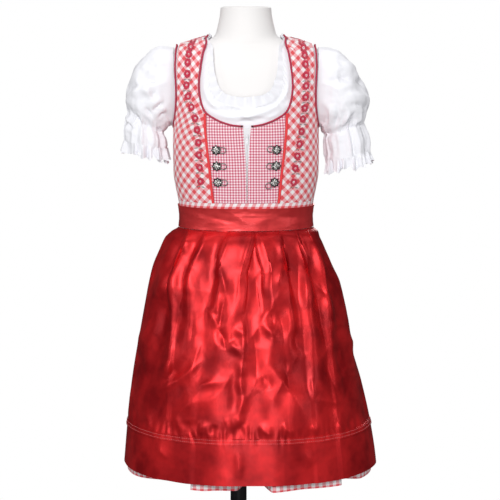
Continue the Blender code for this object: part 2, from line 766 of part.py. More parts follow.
def build_stand():
    bore = POLE_R + SEAM_GAP
    turned("stand_base", (
        (0, 0), (BASE_R - BASE_ROUND, 0), (BASE_R, BASE_ROUND), (BASE_R, BASE_T - BASE_ROUND),
        (BASE_R - BASE_ROUND, BASE_T), (BOSS_R + BASE_ROUND, BASE_T), (BOSS_R, BASE_T + BASE_ROUND),
        (BOSS_R - BASE_ROUND / 2, BOSS_TOP), (bore, BOSS_TOP), (bore, BOSS_TOP - SOCKET_DEPTH),
        (0, BOSS_TOP - SOCKET_DEPTH),
    ), "steel_black", BASE_SIDES)
    low = BOSS_TOP - SOCKET_DEPTH + SEAM_GAP
    turned("stand_pole", (
        (0, low), (POLE_R, low), (POLE_R, FORM_BOTTOM - SEAM_GAP), (0, FORM_BOTTOM - SEAM_GAP),
    ), "steel_black", POLE_SIDES)
    foot = FORM_BOTTOM - FLANGE_LENGTH
    turned("stand_flange", (
        (bore, foot), (FLANGE_TUBE_R, foot), (FLANGE_TUBE_R, FORM_BOTTOM - FLANGE_T),
        (FLANGE_R, FORM_BOTTOM - FLANGE_T), (FLANGE_R, FORM_BOTTOM - SEAM_GAP),
        (bore, FORM_BOTTOM - SEAM_GAP), (bore, foot),
    ), "steel_black", POLE_SIDES)


def build_form():
    angles = np.arange(FORM_SIDES) * 2 * math.pi / FORM_SIDES
    heights = np.array([row[0] for row in FORM_SECTIONS])
    rings = form_point(angles[None, :], heights[:, None])
    axis = np.array([GARMENT_X, GARMENT_Y, 0])
    spokes = (rings - axis) * [1, 1, 0]
    rings = rings - FORM_INSET * spokes / np.linalg.norm(spokes, axis=-1, keepdims=True)
    ring_stack("form_torso", rings, "form")


# The blouse

def blouse_neck(back=False):
    """The blouse's neckline from the shoulder seam to the middle, on the right."""
    rows = BLOUSE_BACK_NECKLINE if back else BLOUSE_NECKLINE
    half = [seen_from_front(x, z, back) for z, x in rows][::-1]
    start = seam_end(BLOUSE_ARMHOLE, BLOUSE_RIDGE_X)[0]
    over = [ridge(BLOUSE_RIDGE_X)] if back else []
    return path([start] + over + half)


def blouse_panel(back=False):
    """The front or back of the blouse: from its neckline out to armhole, side and hem."""
    _, top = seam_end(BLOUSE_ARMHOLE, BLOUSE_RIDGE_X)
    way = -1 if back else 1
    turns = np.linspace(SHOULDER_SEAM_TURN, 180, ARMHOLE_STEPS)
    if back:
        turns = -np.linspace(-SHOULDER_SEAM_TURN, 180, ARMHOLE_STEPS)
    hole = path([armhole(BLOUSE_ARMHOLE, t) for t in turns])
    below = BLOUSE_ARMHOLE["height"] - BLOUSE_ARMHOLE["half_height"]
    side = path([(0.0, below), (0.0, (below + BLOUSE_HEM) / 2), (0.0, BLOUSE_HEM)])
    hem = path([(way * a, BLOUSE_HEM) for a in np.linspace(0, math.pi / 2, 5)])
    outer = sampled((hole, BLOUSE_UNDERARM_COLUMN), (side, BLOUSE_SIDE_SPANS), (hem, 6))
    inner = blouse_neck(back)(np.linspace(0, 1, len(outer)))
    return wrapped_round_neck(outer, inner, 6 if back else 4, back, BLOUSE_UNDERARM_COLUMN)


def build_blouse():
    half = SEAM_GAP / 2
    for name, back in (("blouse_front", False), ("blouse_back", True)):
        grid = drawn_in(blouse_panel(back), left=half, right=half)
        way = -1 if back else 1
        below_arm = range(BLOUSE_UNDERARM_COLUMN, BLOUSE_UNDERARM_COLUMN + BLOUSE_SIDE_SPANS + 1)
        for column in below_arm:
            grid[0, column, 0] += way * SIDE_SEAM_TURN
            grid[0, -1 - column, 0] -= way * SIDE_SEAM_TURN
        panel(name, grid, BLOUSE_FACES, "white_cotton")
    build_neck_frill()
    for side, table in (("right", SLEEVE_RIGHT), ("left", SLEEVE_LEFT)):
        build_sleeve(side, table)


def build_neck_frill():
    """The frill that stands up from the neck's elastic, waved, right round the neck."""
    columns = FRILL_WAVES * 2
    half = columns // 2
    front = blouse_neck()
    back = blouse_neck(back=True)
    halfway = sampled((lambda at: front(1 - at), half // 2), (back, half - half // 2))
    seam = np.concatenate([halfway, mirrored(halfway)[-2:0:-1]])
    share = np.abs(np.linspace(0, 2, columns, endpoint=False) - 1)
    drop = curve_through(FRILL_HEIGHTS)(1 - share)[:, 0]
    where = form_point(seam[:, 0], seam[:, 1])
    ahead = np.roll(where, -1, axis=0) - np.roll(where, 1, axis=0)
    out = cloth_point(seam[:, 0], seam[:, 1], 1.0) - where
    inward = np.cross(out, ahead)
    inward /= np.linalg.norm(inward, axis=1, keepdims=True)
    wave = np.where(np.arange(columns) % 2, 1.0, -1.0)
    rows = len(FRILL_STAND)
    grid = np.empty((rows, columns, 3))
    for row, (stand, depth) in enumerate(zip(FRILL_STAND, FRILL_DEPTH)):
        reach = drop * row / (rows - 1) + FRILL_GAP
        grid[row] = where + inward * reach[:, None] + out * (stand + depth * wave)[:, None]
    normal = np.broadcast_to(out, grid.shape)
    wall("blouse_neck_frill", grid, grid - normal * FRILL_WALL, "white_cotton", wrap=True)


def sleeve_rings(side, table):
    """The sleeve's outer face: its armhole ring and one ring for each row of the table."""
    way = 1 if side == "right" else -1
    turns = np.arange(SLEEVE_COLUMNS) * 2 * math.pi / SLEEVE_COLUMNS
    hole = np.array([
        armhole(BLOUSE_ARMHOLE, math.degrees(t), -SLEEVE_SET_IN) for t in turns
    ])
    if way < 0:
        hole = mirrored(hole)
    rings = [cloth_point(hole[:, 0], hole[:, 1], BLOUSE_FACES[1])]
    wave = np.cos(SLEEVE_GATHERS * turns)
    for outer_x, outer_z, inner_x, inner_z, half_depth, gather in table:
        outer = np.array([GARMENT_X + outer_x, GARMENT_Y, outer_z])
        inner = np.array([GARMENT_X + inner_x, GARMENT_Y, inner_z])
        long, deep = (outer - inner) / 2, np.array([0, -half_depth, 0])
        swell = 1 + gather * wave / np.linalg.norm(long)
        spokes = np.outer(np.cos(turns) * swell, long) + np.outer(np.sin(turns) * swell, deep)
        rings.append((outer + inner) / 2 + spokes)
    return np.array(rings)


def build_sleeve(side, table):
    rings = sleeve_rings(side, table)
    wall(f"blouse_sleeve_{side}", rings, moved_out(rings, -SLEEVE_WALL, wrap=True),
         "white_cotton", wrap=True)
    last = rings[-1]
    middle = last.mean(0)
    spokes = last - middle
    down = (last - rings[-2]).mean(0)
    down /= np.linalg.norm(down)
    turns = np.arange(SLEEVE_COLUMNS) * 2 * math.pi / SLEEVE_COLUMNS
    wave = np.cos(CUFF_WAVES * turns)
    frill = []
    for drop, flare, depth in CUFF_ROWS:
        reach = 1 + (flare + depth * wave) / np.linalg.norm(spokes, axis=1)
        frill.append(middle + spokes * reach[:, None] + down * drop)
    frill = np.array(frill)
    wall(f"blouse_cuff_frill_{side}", frill, moved_out(frill, -SLEEVE_WALL, wrap=True),
         "white_cotton", wrap=True)


# The bodice

def waist_line(start, end, spans):
    """Points of the bodice's lower edge between two angles."""
    angles = np.linspace(start, end, spans + 1)
    return np.column_stack([angles, np.full(spans + 1, WAIST)])


def rear_seam():
    """The curved back seam from the armhole down to the waist."""
    start = armhole(BODICE_ARMHOLE, -BACK_PRINCESS_TURN, NECK_INSET)
    lower = [seen_from_front(x, z, back=True) for z, x in BACK_PRINCESS]
    return path([start] + lower)


def front_centre_grid():
    neckline, seam = moved_aside(NECKLINE, NECK_INSET), moved_aside(PRINCESS, -SEAM_INSET)
    corner_x, corner_height = crossing(neckline, seam)
    gap_at = curve_through(FRONT_GAP)
    start_x = ZIP_X + float(gap_at(neckline[0][0])[0])
    neck_at = curve_through([(x, z) for z, x in neckline if z < NECK_TURN_HEIGHT])
    xs = np.linspace(start_x, corner_x, 6)
    top = np.array([seen_from_front(x, float(neck_at(x)[0])) for x in xs])
    seam_at = curve_through(seam)
    left = path([
        seen_from_front(ZIP_X + float(gap_at(z)[0]), z)
        for z in np.linspace(WAIST, top[0, 1], 7)
    ])
    right = path([
        seen_from_front(float(seam_at(z)[0]), z) for z in np.linspace(WAIST, corner_height, 7)
    ])
    spans = 8
    left, right = sampled((left, spans)), sampled((right, spans))
    bottom = waist_line(left[0, 0], right[0, 0], len(top) - 1)
    return patch(bottom, top, left, right)


def front_side_grid():
    neckline, seam = moved_aside(NECKLINE, NECK_INSET), moved_aside(PRINCESS, SEAM_INSET)
    corner_x, corner_height = crossing(neckline, seam)
    seam_at = curve_through(seam)
    lower = path([
        seen_from_front(float(seam_at(z)[0]), z) for z in np.linspace(WAIST, corner_height, 7)
    ])
    at_neck, at_hole = seam_end(BODICE_ARMHOLE, NECK_RIDGE_X, NECK_INSET)
    upper = path(
        [seen_from_front(corner_x, corner_height)]
        + [seen_from_front(x, z) for z, x in neckline if z > corner_height + 5 * MM]
        + [at_neck]
    )
    left = sampled((lower, 7), (upper, 8))
    below = armhole(BODICE_ARMHOLE, 180, NECK_INSET)[1]
    side = path([(0.0, z) for z in np.linspace(WAIST, below, 5)])
    hole = path([
        armhole(BODICE_ARMHOLE, t, NECK_INSET)
        for t in np.linspace(180, SHOULDER_SEAM_TURN, ARMHOLE_STEPS)
    ])
    right = sampled((side, 5), (hole, 10))
    top = sampled((path([at_neck, at_hole]), 5))
    return patch(waist_line(left[0, 0], 0.0, 5), top, left, right)


def side_back_grid():
    rear = sampled((rear_seam(), 6))[::-1]
    hole = path([
        armhole(BODICE_ARMHOLE, -t, NECK_INSET)
        for t in np.linspace(180, BACK_PRINCESS_TURN, 9)
    ])
    below = armhole(BODICE_ARMHOLE, 180, NECK_INSET)[1]
    side = sampled((path([(0.0, z) for z in np.linspace(WAIST, below, 5)]), 6))
    return patch(waist_line(0.0, rear[0, 0], 4), sampled((hole, 4)), side, rear)


def back_centre_grid():
    """The back's middle panel with its two straps, from one shoulder seam to the other."""
    at_neck, at_hole = seam_end(BODICE_ARMHOLE, NECK_RIDGE_X, NECK_INSET)
    hole = path([
        armhole(BODICE_ARMHOLE, -t, NECK_INSET)
        for t in np.linspace(-SHOULDER_SEAM_TURN, BACK_PRINCESS_TURN, ARMHOLE_STEPS)
    ])
    rear = rear_seam()
    corner = rear(1.0)[0]
    waist = path([(a, WAIST) for a in np.linspace(corner, -math.pi / 2, 4)])
    outer = sampled((hole, 8), (rear, 6), (waist, 3))
    neckline = moved_aside(BACK_NECKLINE, NECK_INSET)
    inner = path(
        [at_neck, ridge(NECK_RIDGE_X + NECK_INSET)]
        + [seen_from_front(x, z, back=True) for z, x in neckline[::-1]]
    )(np.linspace(0, 1, len(outer)))
    return wrapped_round_neck(outer, inner, rows=7, back=True)


def build_bodice():
    plain = SEAM_GAP / 2
    for name, grid, finish, insets in (
        ("bodice_centre_front", front_centre_grid(), "small_check", dict(bottom=plain)),
        ("bodice_side_front", front_side_grid(), "gingham", dict(bottom=plain, top=plain)),
        ("bodice_side_back", side_back_grid(), "gingham", dict(bottom=plain, right=plain)),
    ):
        grid = drawn_in(grid, **insets)
        if name == "bodice_side_front":
            below = grid[:, -1, 0] == 0
            grid[below, -1, 0] = SIDE_SEAM_TURN
        if name == "bodice_side_back":
            grid[:, 0, 0] = -SIDE_SEAM_TURN
        panel(f"{name}_right", grid, BODICE_FACES, finish)
        other = mirrored(grid)
        if name == "bodice_centre_front":
            other = closed_up_to_zip(other)
        panel(f"{name}_left", other, BODICE_FACES, finish)
    grid = drawn_in(back_centre_grid(), left=plain, right=plain)
    grid[0] = moved_towards(grid[0], grid[1], plain)
    panel("bodice_centre_back", grid, BODICE_FACES, "gingham")


def closed_up_to_zip(grid):
    """The left front panel widened to the zip, which isn't quite on the figure's middle."""
    grid = grid.copy()
    gap_at = curve_through(FRONT_GAP)
    share = np.linspace(1, 0, grid.shape[1]) ** 2
    for row in grid:
        height = row[0, 1]
        edge = seen_from_front(ZIP_X - float(gap_at(height)[0]), height)
        row[:, 0] += (edge[0] - row[0, 0]) * share
    return grid


def in_wall(points, lift):
    """Points in the middle of the bodice's wall, moved out by lift."""
    return cloth_point(points[:, 0], points[:, 1], sum(BODICE_FACES) / 2 + lift)


def build_piping():
    """Cords in the seams: dark ones bind the neck and armholes, red ones run down the front."""
    gap_at = curve_through(FRONT_GAP)
    first = ZIP_X + float(gap_at(NECKLINE[0][0])[0])
    front = [seen_from_front(x, z) for z, x in NECKLINE if x > first]
    front = [seen_from_front(first, NECKLINE[0][0])] + front
    at_neck, _ = seam_end(BODICE_ARMHOLE, NECK_RIDGE_X)
    back = [seen_from_front(x, z, back=True) for z, x in BACK_NECKLINE[::-1]]
    half = sampled((path(front + [at_neck, ridge(NECK_RIDGE_X)] + back), 25))
    other = mirrored(half)
    start = seen_from_front(2 * ZIP_X - first, NECKLINE[0][0])
    other[0] = start
    loop = np.concatenate([half, other[-2::-1]])
    tube("neck_piping", in_wall(loop, 0.4 * MM), NECK_PIPING_R, "piping_dark")
    turns = np.arange(ARMHOLE_STEPS) * 360 / ARMHOLE_STEPS
    hole = np.array([armhole(BODICE_ARMHOLE, t) for t in turns])
    top = NECKLINE_AT_SEAM - NECK_PIPING_R - SEAM_PIPING_R - 2 * SEAM_GAP
    seam_at = curve_through(PRINCESS)
    seam = np.array([
        seen_from_front(float(seam_at(z)[0]), z)
        for z in np.linspace(WAIST + SEAM_GAP, top, 9)
    ])
    for side in ("right", "left"):
        hole_side, seam_side = (hole, seam) if side == "right" else (mirrored(hole), mirrored(seam))
        tube(f"armhole_piping_{side}", in_wall(hole_side, 0.4 * MM), NECK_PIPING_R,
             "piping_dark", closed=True)
        tube(f"seam_piping_{side}", in_wall(seam_side, 0.9 * MM), SEAM_PIPING_R, "piping_red")


# The zip and the ornaments

def build_zip():
    rows = np.linspace(WAIST, ZIP_TOP, 7)
    for side, way in (("right", 1), ("left", -1)):
        xs = ZIP_X + way * (ZIP_SPLIT + np.linspace(0, ZIP_TAPE_WIDTH, 3))
        grid = np.array([[seen_from_front(x, z) for x in xs] for z in rows])
        panel(f"zip_tape_{side}", grid, ZIP_FACES, "zip_white")
    frame = surface_frame(ZIP_X, SLIDER_HEIGHT, ZIP_FACES[1] + SEAM_GAP)
    build_slider(frame)


def surface_frame(x, height, off):
    """A matrix whose X runs right, Y into the figure and Z up, square to the form there."""
    angle, _ = seen_from_front(x, height)
    foot, tip = cloth_point(angle, height, off), cloth_point(angle, height, off + 0.01)
    inward = Vector(foot - tip).normalized()
    right = inward.cross(Vector((0, 0, 1))).normalized()
    up = right.cross(inward)
    matrix = Matrix((right, inward, up)).transposed().to_4x4()
    matrix.translation = Vector(foot)
    return matrix


def build_slider(frame):
    """The slider's body and the arch on its front, and the pull tab that hangs in the arch."""
    body = block("zip_slider", (-SLIDER_W / 2, -SLIDER_T, -SLIDER_L / 2),
                 (SLIDER_W / 2, 0, SLIDER_L / 2), "antique_silver", frame)
    out = -SLIDER_T - EYE_SPACE
    foot, reach = EYE_SPACE / 2, EYE_SPACE / 2 + EYE_BAR
    half = EYE_BAR * 0.6
    bars = [
        block(f"eye_{k}", low, high, "antique_silver", frame)
        for k, (low, high) in enumerate((
            ((-half, out - EYE_BAR, foot), (half, -SLIDER_T / 2, reach)),
            ((-half, out - EYE_BAR, -reach), (half, -SLIDER_T / 2, -foot)),
            ((-half, out - EYE_BAR, -reach), (half, out, reach)),
        ))
    ]
    united(body, bars)
    hinge = bpy.data.objects.new("pull_hinge", None)
    bpy.context.scene.collection.objects.link(hinge)
    hinge.matrix_world = frame @ Matrix.Translation((0, -SLIDER_T - EYE_SPACE / 2, 0))
    half = PULL_T / 2
    tab = block("zip_pull", (-PULL_W / 2, -half, -PULL_L), (PULL_W / 2, half, half),
                "antique_silver", Matrix())
    tab.parent = hinge
    hole = block("pull_hole", (-PULL_HOLE_W / 2, -PULL_T, -half - PULL_HOLE_L),
                 (PULL_HOLE_W / 2, PULL_T, -half), "antique_silver", Matrix())
    hole.parent = hinge
    cut = tab.modifiers.new("hole", "BOOLEAN")
    cut.operation = "DIFFERENCE"
    cut.object = hole
    hole.hide_render = True
    hole.display_type = "WIRE"


def block(name, low, high, finish, matrix):
    points, faces = box(low, high)
    made = place(name, closed_mesh(name, points, faces), finish)
    made.matrix_world = matrix
    return made


def flower_mesh():
    """A six-petalled flower, flat behind and domed in front, which faces -Y."""
    turns = np.arange(HOOK_PETALS * 2) * math.pi / HOOK_PETALS
    edge = HOOK_R + HOOK_PETAL * np.cos(HOOK_PETALS * turns)
    rings = []
    for share, depth in ((1.0, 0.0), (1.0, HOOK_THICK * 0.45), (0.45, HOOK_THICK)):
        radius = edge * share
        rings.append(np.column_stack([
            radius * np.cos(turns), np.full(len(turns), -depth), radius * np.sin(turns)
        ]))
    count = len(turns)
    faces = [list(range(count)), list(range(2 * count, 3 * count))]
    for ring in (0, 1):
        for k in range(count):
            n = (k + 1) % count
            faces.append([ring * count + k, ring * count + n,
                          (ring + 1) * count + n, (ring + 1) * count + k])
    return closed_mesh("flower", np.concatenate(rings), faces)


def ring_mesh():
    """The chain ring beside the flower: a square wire bent round the Y axis."""
    count, wire = 10, RING_WIRE
    points = []
    for k in range(count):
        turn = 2 * math.pi * k / count
        for radius, depth in ((RING_R + wire, 0.0), (RING_R + wire, 2 * wire),
                              (RING_R - wire, 2 * wire), (RING_R - wire, 0.0)):
            points.append((radius * math.cos(turn), -depth, radius * math.sin(turn)))
    faces = []
    for k in range(count):
        n = (k + 1) % count
        for s in range(4):
            t = (s + 1) % 4
            faces.append([4 * k + s, 4 * k + t, 4 * n + t, 4 * n + s])
    return closed_mesh("ring", np.array(points), faces)


def build_hooks():
    flower, ring = flower_mesh(), ring_mesh()
    for name, x, height, turn in HOOKS:
        frame = surface_frame(x, height, BODICE_FACES[1] + SEAM_GAP)
        made = place(name, flower.copy(), "antique_silver")
        made.matrix_world = frame
        turn = math.radians(turn)
        reach = HOOK_R + RING_R + min(HOOK_PETAL * math.cos(HOOK_PETALS * turn), 0)
        eye = place(f"{name}_eye", ring, "antique_silver")
        eye.matrix_world = frame @ Matrix.Translation(
            (reach * math.cos(turn), -HOOK_THICK * 0.1, reach * math.sin(turn))
        )
        united(made, [eye])


# The waist and the skirts

skirt_outline = curve_through(SKIRT_OUTLINE)
skirt_fold = curve_through(
    [(a + turn, share) for turn in (-360, 0, 360) for a, share in SKIRT_FOLDS]
)
skirt_fold_growth = curve_through(SKIRT_FOLD_GROWTH)
apron_fold = curve_through(APRON_FOLD_DEPTHS)
skirt_tuck = curve_through(SKIRT_TUCK)


def outline_radius(angle, height):
    """Distance from the skirts' axis to their outline."""
    half_width, front, back, _ = np.moveaxis(skirt_outline(height), -1, 0)
    return oval_radius(angle, half_width, front, back, SKIRT_SQUARENESS)


def around_skirt(angle, height, radius):
    """Points at that distance from the skirts' axis."""
    shift = skirt_outline(height)[..., 3]
    return np.stack([
        GARMENT_X + shift + radius * np.cos(angle), GARMENT_Y - radius * np.sin(angle),
        height + 0 * radius,
    ], -1)


def build_waistband():
    """The strip of gingham between bodice and skirt, under the apron's band."""
    grid = waist_grid(WAISTBAND_BOTTOM, WAIST - SEAM_GAP / 2)
    panel("dress_waistband", grid, BODICE_FACES, "gingham", wrap=True)


def waist_grid(*heights):
    angles = np.radians(WAIST_TURNS)
    return np.stack(np.broadcast_arrays(angles[None, :], np.array(heights)[:, None]), -1)


def skirt_radius(degrees, height):
    angle = np.radians(degrees)
    outline = outline_radius(angle, height)
    share = skirt_fold(degrees)[..., 0]
    growth = skirt_fold_growth(height)[..., 0]
    inside_apron = apron_fold(height)[..., 0] + APRON_WALL + APRON_CLEAR
    inside_apron = inside_apron + skirt_tuck(height)[..., 0]
    return np.minimum(outline * (1 - (1 - share) * growth), outline - inside_apron)


def build_skirt():
    degrees = [a for a, _ in SKIRT_FOLDS]
    between = [
        (a + b) / 2 for a, b in zip(degrees, degrees[1:] + [360]) if b - a > SKIRT_STEP
    ]
    degrees = np.array(sorted(degrees + between))
    heights = np.array(SKIRT_ROWS)[:, None]
    for name, low in (("skirt_front", 0), ("skirt_back", 180)):
        inside = degrees[(degrees > low + 2) & (degrees < low + 178)]
        columns = np.concatenate([[low + SKIRT_SEAM], inside, [low + 180 - SKIRT_SEAM]])
        columns = np.broadcast_to(columns, (len(heights), len(columns)))
        rows = np.broadcast_to(heights, columns.shape)
        outer = around_skirt(np.radians(columns), rows, skirt_radius(columns, rows))
        wall(name, outer, moved_out(outer, -SKIRT_WALL), "gingham")


def apron_row(height):
    """(angle, level) of the apron's columns at one height, from its left hem to its right."""
    depth, width = apron_fold(height)
    half_width, front, _, shift = skirt_outline(height)
    left, right = (math.radians(a) for a in APRON_SIDE_ANGLES[::-1])
    row = [(left, 0.0)]
    for *xs, level_left, level_right in APRON_PLEATS:
        x = float(curve_through(list(zip(APRON_FOLD_HEIGHTS, xs)))(height)[0]) - shift
        share = min(abs(x) / half_width, 1.0)
        y = front * (1 - share**SKIRT_SQUARENESS) ** (1 / SKIRT_SQUARENESS)
        angle, radius = math.atan2(y, x), math.hypot(x, y)
        half = width / 2 / radius
        row += stretch(row[-1], (angle + half, level_left))
        row.append((angle - half, level_right))
    row += stretch(row[-1], (right, 0.0))
    angles, levels = np.array(row).T
    radius = outline_radius(angles, height) + levels * depth
    return around_skirt(angles, np.full(len(angles), height), radius)


def stretch(start, end):
    """Columns after start up to end, where the cloth passes smoothly between their levels."""
    out = []
    for share in np.linspace(0, 1, APRON_COLUMNS_BETWEEN + 2)[1:]:
        eased = share * share * (3 - 2 * share)
        out.append((
            start[0] + (end[0] - start[0]) * share, start[1] + (end[1] - start[1]) * eased
        ))
    return out


def build_apron():
    grid = np.array([apron_row(z) for z in APRON_ROWS])
    wall("apron_skirt", grid, moved_out(grid, -APRON_WALL), "satin_red")
    normal, longer = grid_normals(grid, wrap=False)
    rows = [APRON_ROWS.index(z) for z in TUCK_ROWS]
    inner = (grid + normal * longer * TUCK_LIFT)[rows]
    outer = (grid + normal * longer * (TUCK_LIFT + TUCK_WALL))[rows]
    wall("apron_tuck", outer, inner, "satin_red")
    panel("apron_waistband", waist_grid(BAND_BOTTOM, BAND_TOP), BAND_FACES, "satin_red")
    build_bow()


def ribbon(name, centres, widths, across, out, thickness=RIBBON_T):
    """A ribbon through the points, that wide along across, and thick along out."""
    centres, out = np.asarray(centres), np.asarray(out)
    sides = np.linspace(-0.5, 0.5, 3)[:, None, None]
    middle = centres[None] + sides * (np.asarray(across) * np.asarray(widths)[:, None])[None]
    wall(name, middle + out * thickness / 2, middle - out * thickness / 2, "satin_red")


def build_bow():
    """A plain bow behind: a knot on the band, two loops beside it and two ends below."""
    back = cloth_point(-math.pi / 2, BOW_HEIGHT, BAND_FACES[1] + KNOT_STAND)
    x, y = back[0], back[1]
    low = (x - KNOT_W / 2, y, BOW_HEIGHT - KNOT_H / 2)
    high = (x + KNOT_W / 2, y + KNOT_T, BOW_HEIGHT + KNOT_H / 2)
    points, faces = box(low, high)
    knot = place("apron_bow_knot", closed_mesh("apron_bow_knot", points, faces), "satin_red")
    soften = knot.modifiers.new("round", "BEVEL")
    soften.width, soften.segments = KNOT_ROUND, 2
    turn = np.linspace(0, 2 * math.pi, LOOP_POINTS)
    bulge = np.sin(turn / 2)
    for side, way in (("right", 1), ("left", -1)):
        reach = KNOT_W / 2 + SEAM_GAP + LOOP_REACH * bulge
        depth = y + KNOT_T / 2 - LOOP_BULGE * np.sin(turn) - BOW_RETREAT * bulge**2
        centres = np.column_stack([x + way * reach, depth, BOW_HEIGHT - LOOP_DROP * bulge**2])
        ahead = np.gradient(centres, axis=0)
        out = np.column_stack([ahead[:, 1], -ahead[:, 0], 0 * turn])
        out /= np.linalg.norm(out, axis=1, keepdims=True)
        widths = LOOP_ROOT_W + (LOOP_W - LOOP_ROOT_W) * bulge
        ribbon(f"apron_bow_loop_{side}", centres, widths, (0, 0, 1), out)
    fall = np.linspace(0, 1, TAIL_ROWS)
    top = BOW_HEIGHT - KNOT_H / 2 - SEAM_GAP
    heights = top + (BOW_HEIGHT - TAIL_LENGTH - top) * fall
    for side, way in (("right", 1), ("left", -1)):
        spread = way * (TAIL_START + TAIL_SPREAD * fall**TAIL_SPREAD_POWER)
        angle = -math.pi / 2 + spread / outline_radius(-math.pi / 2, heights)
        centres = around_skirt(angle, heights, outline_radius(angle, heights) + TAIL_CLEAR)
        centres[:2, 1] = np.maximum(centres[:2, 1], y + KNOT_T / 2)
        widths = TAIL_ROOT_W + (TAIL_W - TAIL_ROOT_W) * np.minimum(fall / TAIL_FULL_AT, 1)
        out = np.column_stack([np.cos(angle), -np.sin(angle), 0 * angle])
        across = np.column_stack([-np.sin(angle), -np.cos(angle), 0 * angle])
        ribbon(f"apron_bow_end_{side}", centres, widths, across, out)


def main():
    clear_scene()
    build_stand()
    build_form()
    build_blouse()
    build_bodice()
    build_piping()
    build_zip()
    build_hooks()
    build_waistband()
    build_skirt()
    build_apron()


main()
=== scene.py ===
"""Looks of a child's dirndl on a dress form: its cloth, trimmings, metal, light and camera.

The shapes follow the same tables of sizes as the solids, at a finer step, with the folds,
gathers and stitching that real cloth shows. Metres, +Z up, the front faces -Y."""

import math

import bmesh
import bpy
import numpy as np
from mathutils import Matrix, Vector


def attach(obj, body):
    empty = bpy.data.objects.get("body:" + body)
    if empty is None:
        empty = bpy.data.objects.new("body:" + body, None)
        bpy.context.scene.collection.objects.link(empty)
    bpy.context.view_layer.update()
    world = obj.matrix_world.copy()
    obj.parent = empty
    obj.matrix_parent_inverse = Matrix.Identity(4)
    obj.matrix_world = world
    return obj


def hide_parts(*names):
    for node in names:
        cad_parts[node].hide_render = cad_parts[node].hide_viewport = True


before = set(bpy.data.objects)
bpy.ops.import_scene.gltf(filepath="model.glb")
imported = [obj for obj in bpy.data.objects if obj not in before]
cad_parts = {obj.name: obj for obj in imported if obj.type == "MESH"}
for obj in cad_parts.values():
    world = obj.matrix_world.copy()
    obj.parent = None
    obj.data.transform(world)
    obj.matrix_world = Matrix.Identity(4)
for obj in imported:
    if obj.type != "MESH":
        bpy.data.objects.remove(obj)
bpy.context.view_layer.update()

MM = 0.001
TENTHS = 10_000    # tenths of a millimetre in a metre

# Heights above the floor
WAIST = 0.8085
BAND_TOP, BAND_BOTTOM = 0.800, 0.762
BLOUSE_HEM = 0.875
FORM_BOTTOM, FORM_TOP, SHOULDER_HEIGHT = 0.585, 1.129, 1.040

GARMENT_X, GARMENT_Y = -0.0062, 0.0068   # the figure's middle, from the origin
SEAM_GAP = 0.3 * MM

# Distances of each cloth's two faces from the form, measured square to it
BLOUSE_FACES = (0.9 * MM, 1.9 * MM)
ZIP_FACES = (2.6 * MM, 3.4 * MM)
BODICE_FACES = (4.2 * MM, 5.8 * MM)
BAND_FACES = (6.6 * MM, 8.2 * MM)
APRON_WALL = 1.2 * MM
APRON_CLEAR = 1.9 * MM     # from the apron's inner face to the skirt under it

NECK_PIPING_R = 1.2 * MM
SEAM_PIPING_R = 1.7 * MM

# The dress form's sections, which every layer of the bodice and blouse follows
FORM_SECTIONS = (
    # height, half width, front depth, back depth, squareness
    (0.585, 0.060, 0.045, 0.050, 2.0), (0.590, 0.088, 0.064, 0.070, 2.1),
    (0.605, 0.106, 0.078, 0.086, 2.15), (0.640, 0.119, 0.087, 0.096, 2.2),
    (0.690, 0.118, 0.085, 0.094, 2.2), (0.740, 0.109, 0.078, 0.081, 2.2),
    (0.780, 0.1055, 0.076, 0.074, 2.2), (0.800, 0.1075, 0.078, 0.074, 2.2),
    (0.822, 0.1115, 0.080, 0.077, 2.25), (0.856, 0.1165, 0.084, 0.080, 2.3),
    (0.900, 0.1170, 0.087, 0.084, 2.35), (0.927, 0.1165, 0.0875, 0.087, 2.35),
    (0.950, 0.1185, 0.086, 0.088, 2.3), (0.980, 0.1240, 0.082, 0.089, 2.3),
    (1.009, 0.1295, 0.076, 0.086, 2.25), (1.030, 0.1315, 0.070, 0.079, 2.1),
    (1.045, 0.1290, 0.064, 0.071, 1.9), (1.055, 0.1220, 0.060, 0.064, 1.75),
    (1.062, 0.1110, 0.0575, 0.060, 1.65), (1.068, 0.0920, 0.0555, 0.057, 1.65),
    (1.0725, 0.0740, 0.0545, 0.055, 1.75), (1.077, 0.0610, 0.0530, 0.0535, 1.9),
    (1.084, 0.0550, 0.0510, 0.0515, 2.0), (1.098, 0.0510, 0.0485, 0.049, 2.0),
    (1.115, 0.0475, 0.0465, 0.047, 2.0), (1.129, 0.0460, 0.0455, 0.046, 2.0),
)
RIDGE_LOW, RIDGE_HIGH = 1.045, 1.0835    # heights between which the shoulder's ridge climbs

# The scooped neckline of the bodice, right half, as half widths at heights
NECKLINE = (
    # height, half width
    (0.9345, 0.0060), (0.9350, 0.0150), (0.9385, 0.0310), (0.9455, 0.0480), (0.9585, 0.0650),
    (0.9750, 0.0715), (0.9970, 0.0745), (1.0260, 0.0725), (1.0500, 0.0685), (1.0650, 0.0635),
)
NECK_RIDGE_X = 0.0600      # where the neckline crosses the top of the shoulder
BACK_NECKLINE = (
    # height, half width
    (1.0320, 0.0000), (1.0330, 0.0200), (1.0370, 0.0380), (1.0455, 0.0520), (1.0600, 0.0590),
)
PRINCESS = (
    # height, distance from the centre of the front seams beside the small-check panels
    (0.8085, 0.0520), (0.8300, 0.0545), (0.8570, 0.0570), (0.8840, 0.0600), (0.9140, 0.0630),
    (0.9310, 0.0643), (0.9585, 0.0650),
)
BACK_PRINCESS = (
    # height, distance from the back's middle of its two curved seams, downwards
    (0.9300, 0.0700), (0.8650, 0.0530), (0.8085, 0.0460),
)
BACK_PRINCESS_TURN = 118   # degrees round the armhole where the back's curved seam starts
ZIP_X = 0.0020             # the front opening lies a little right of the middle
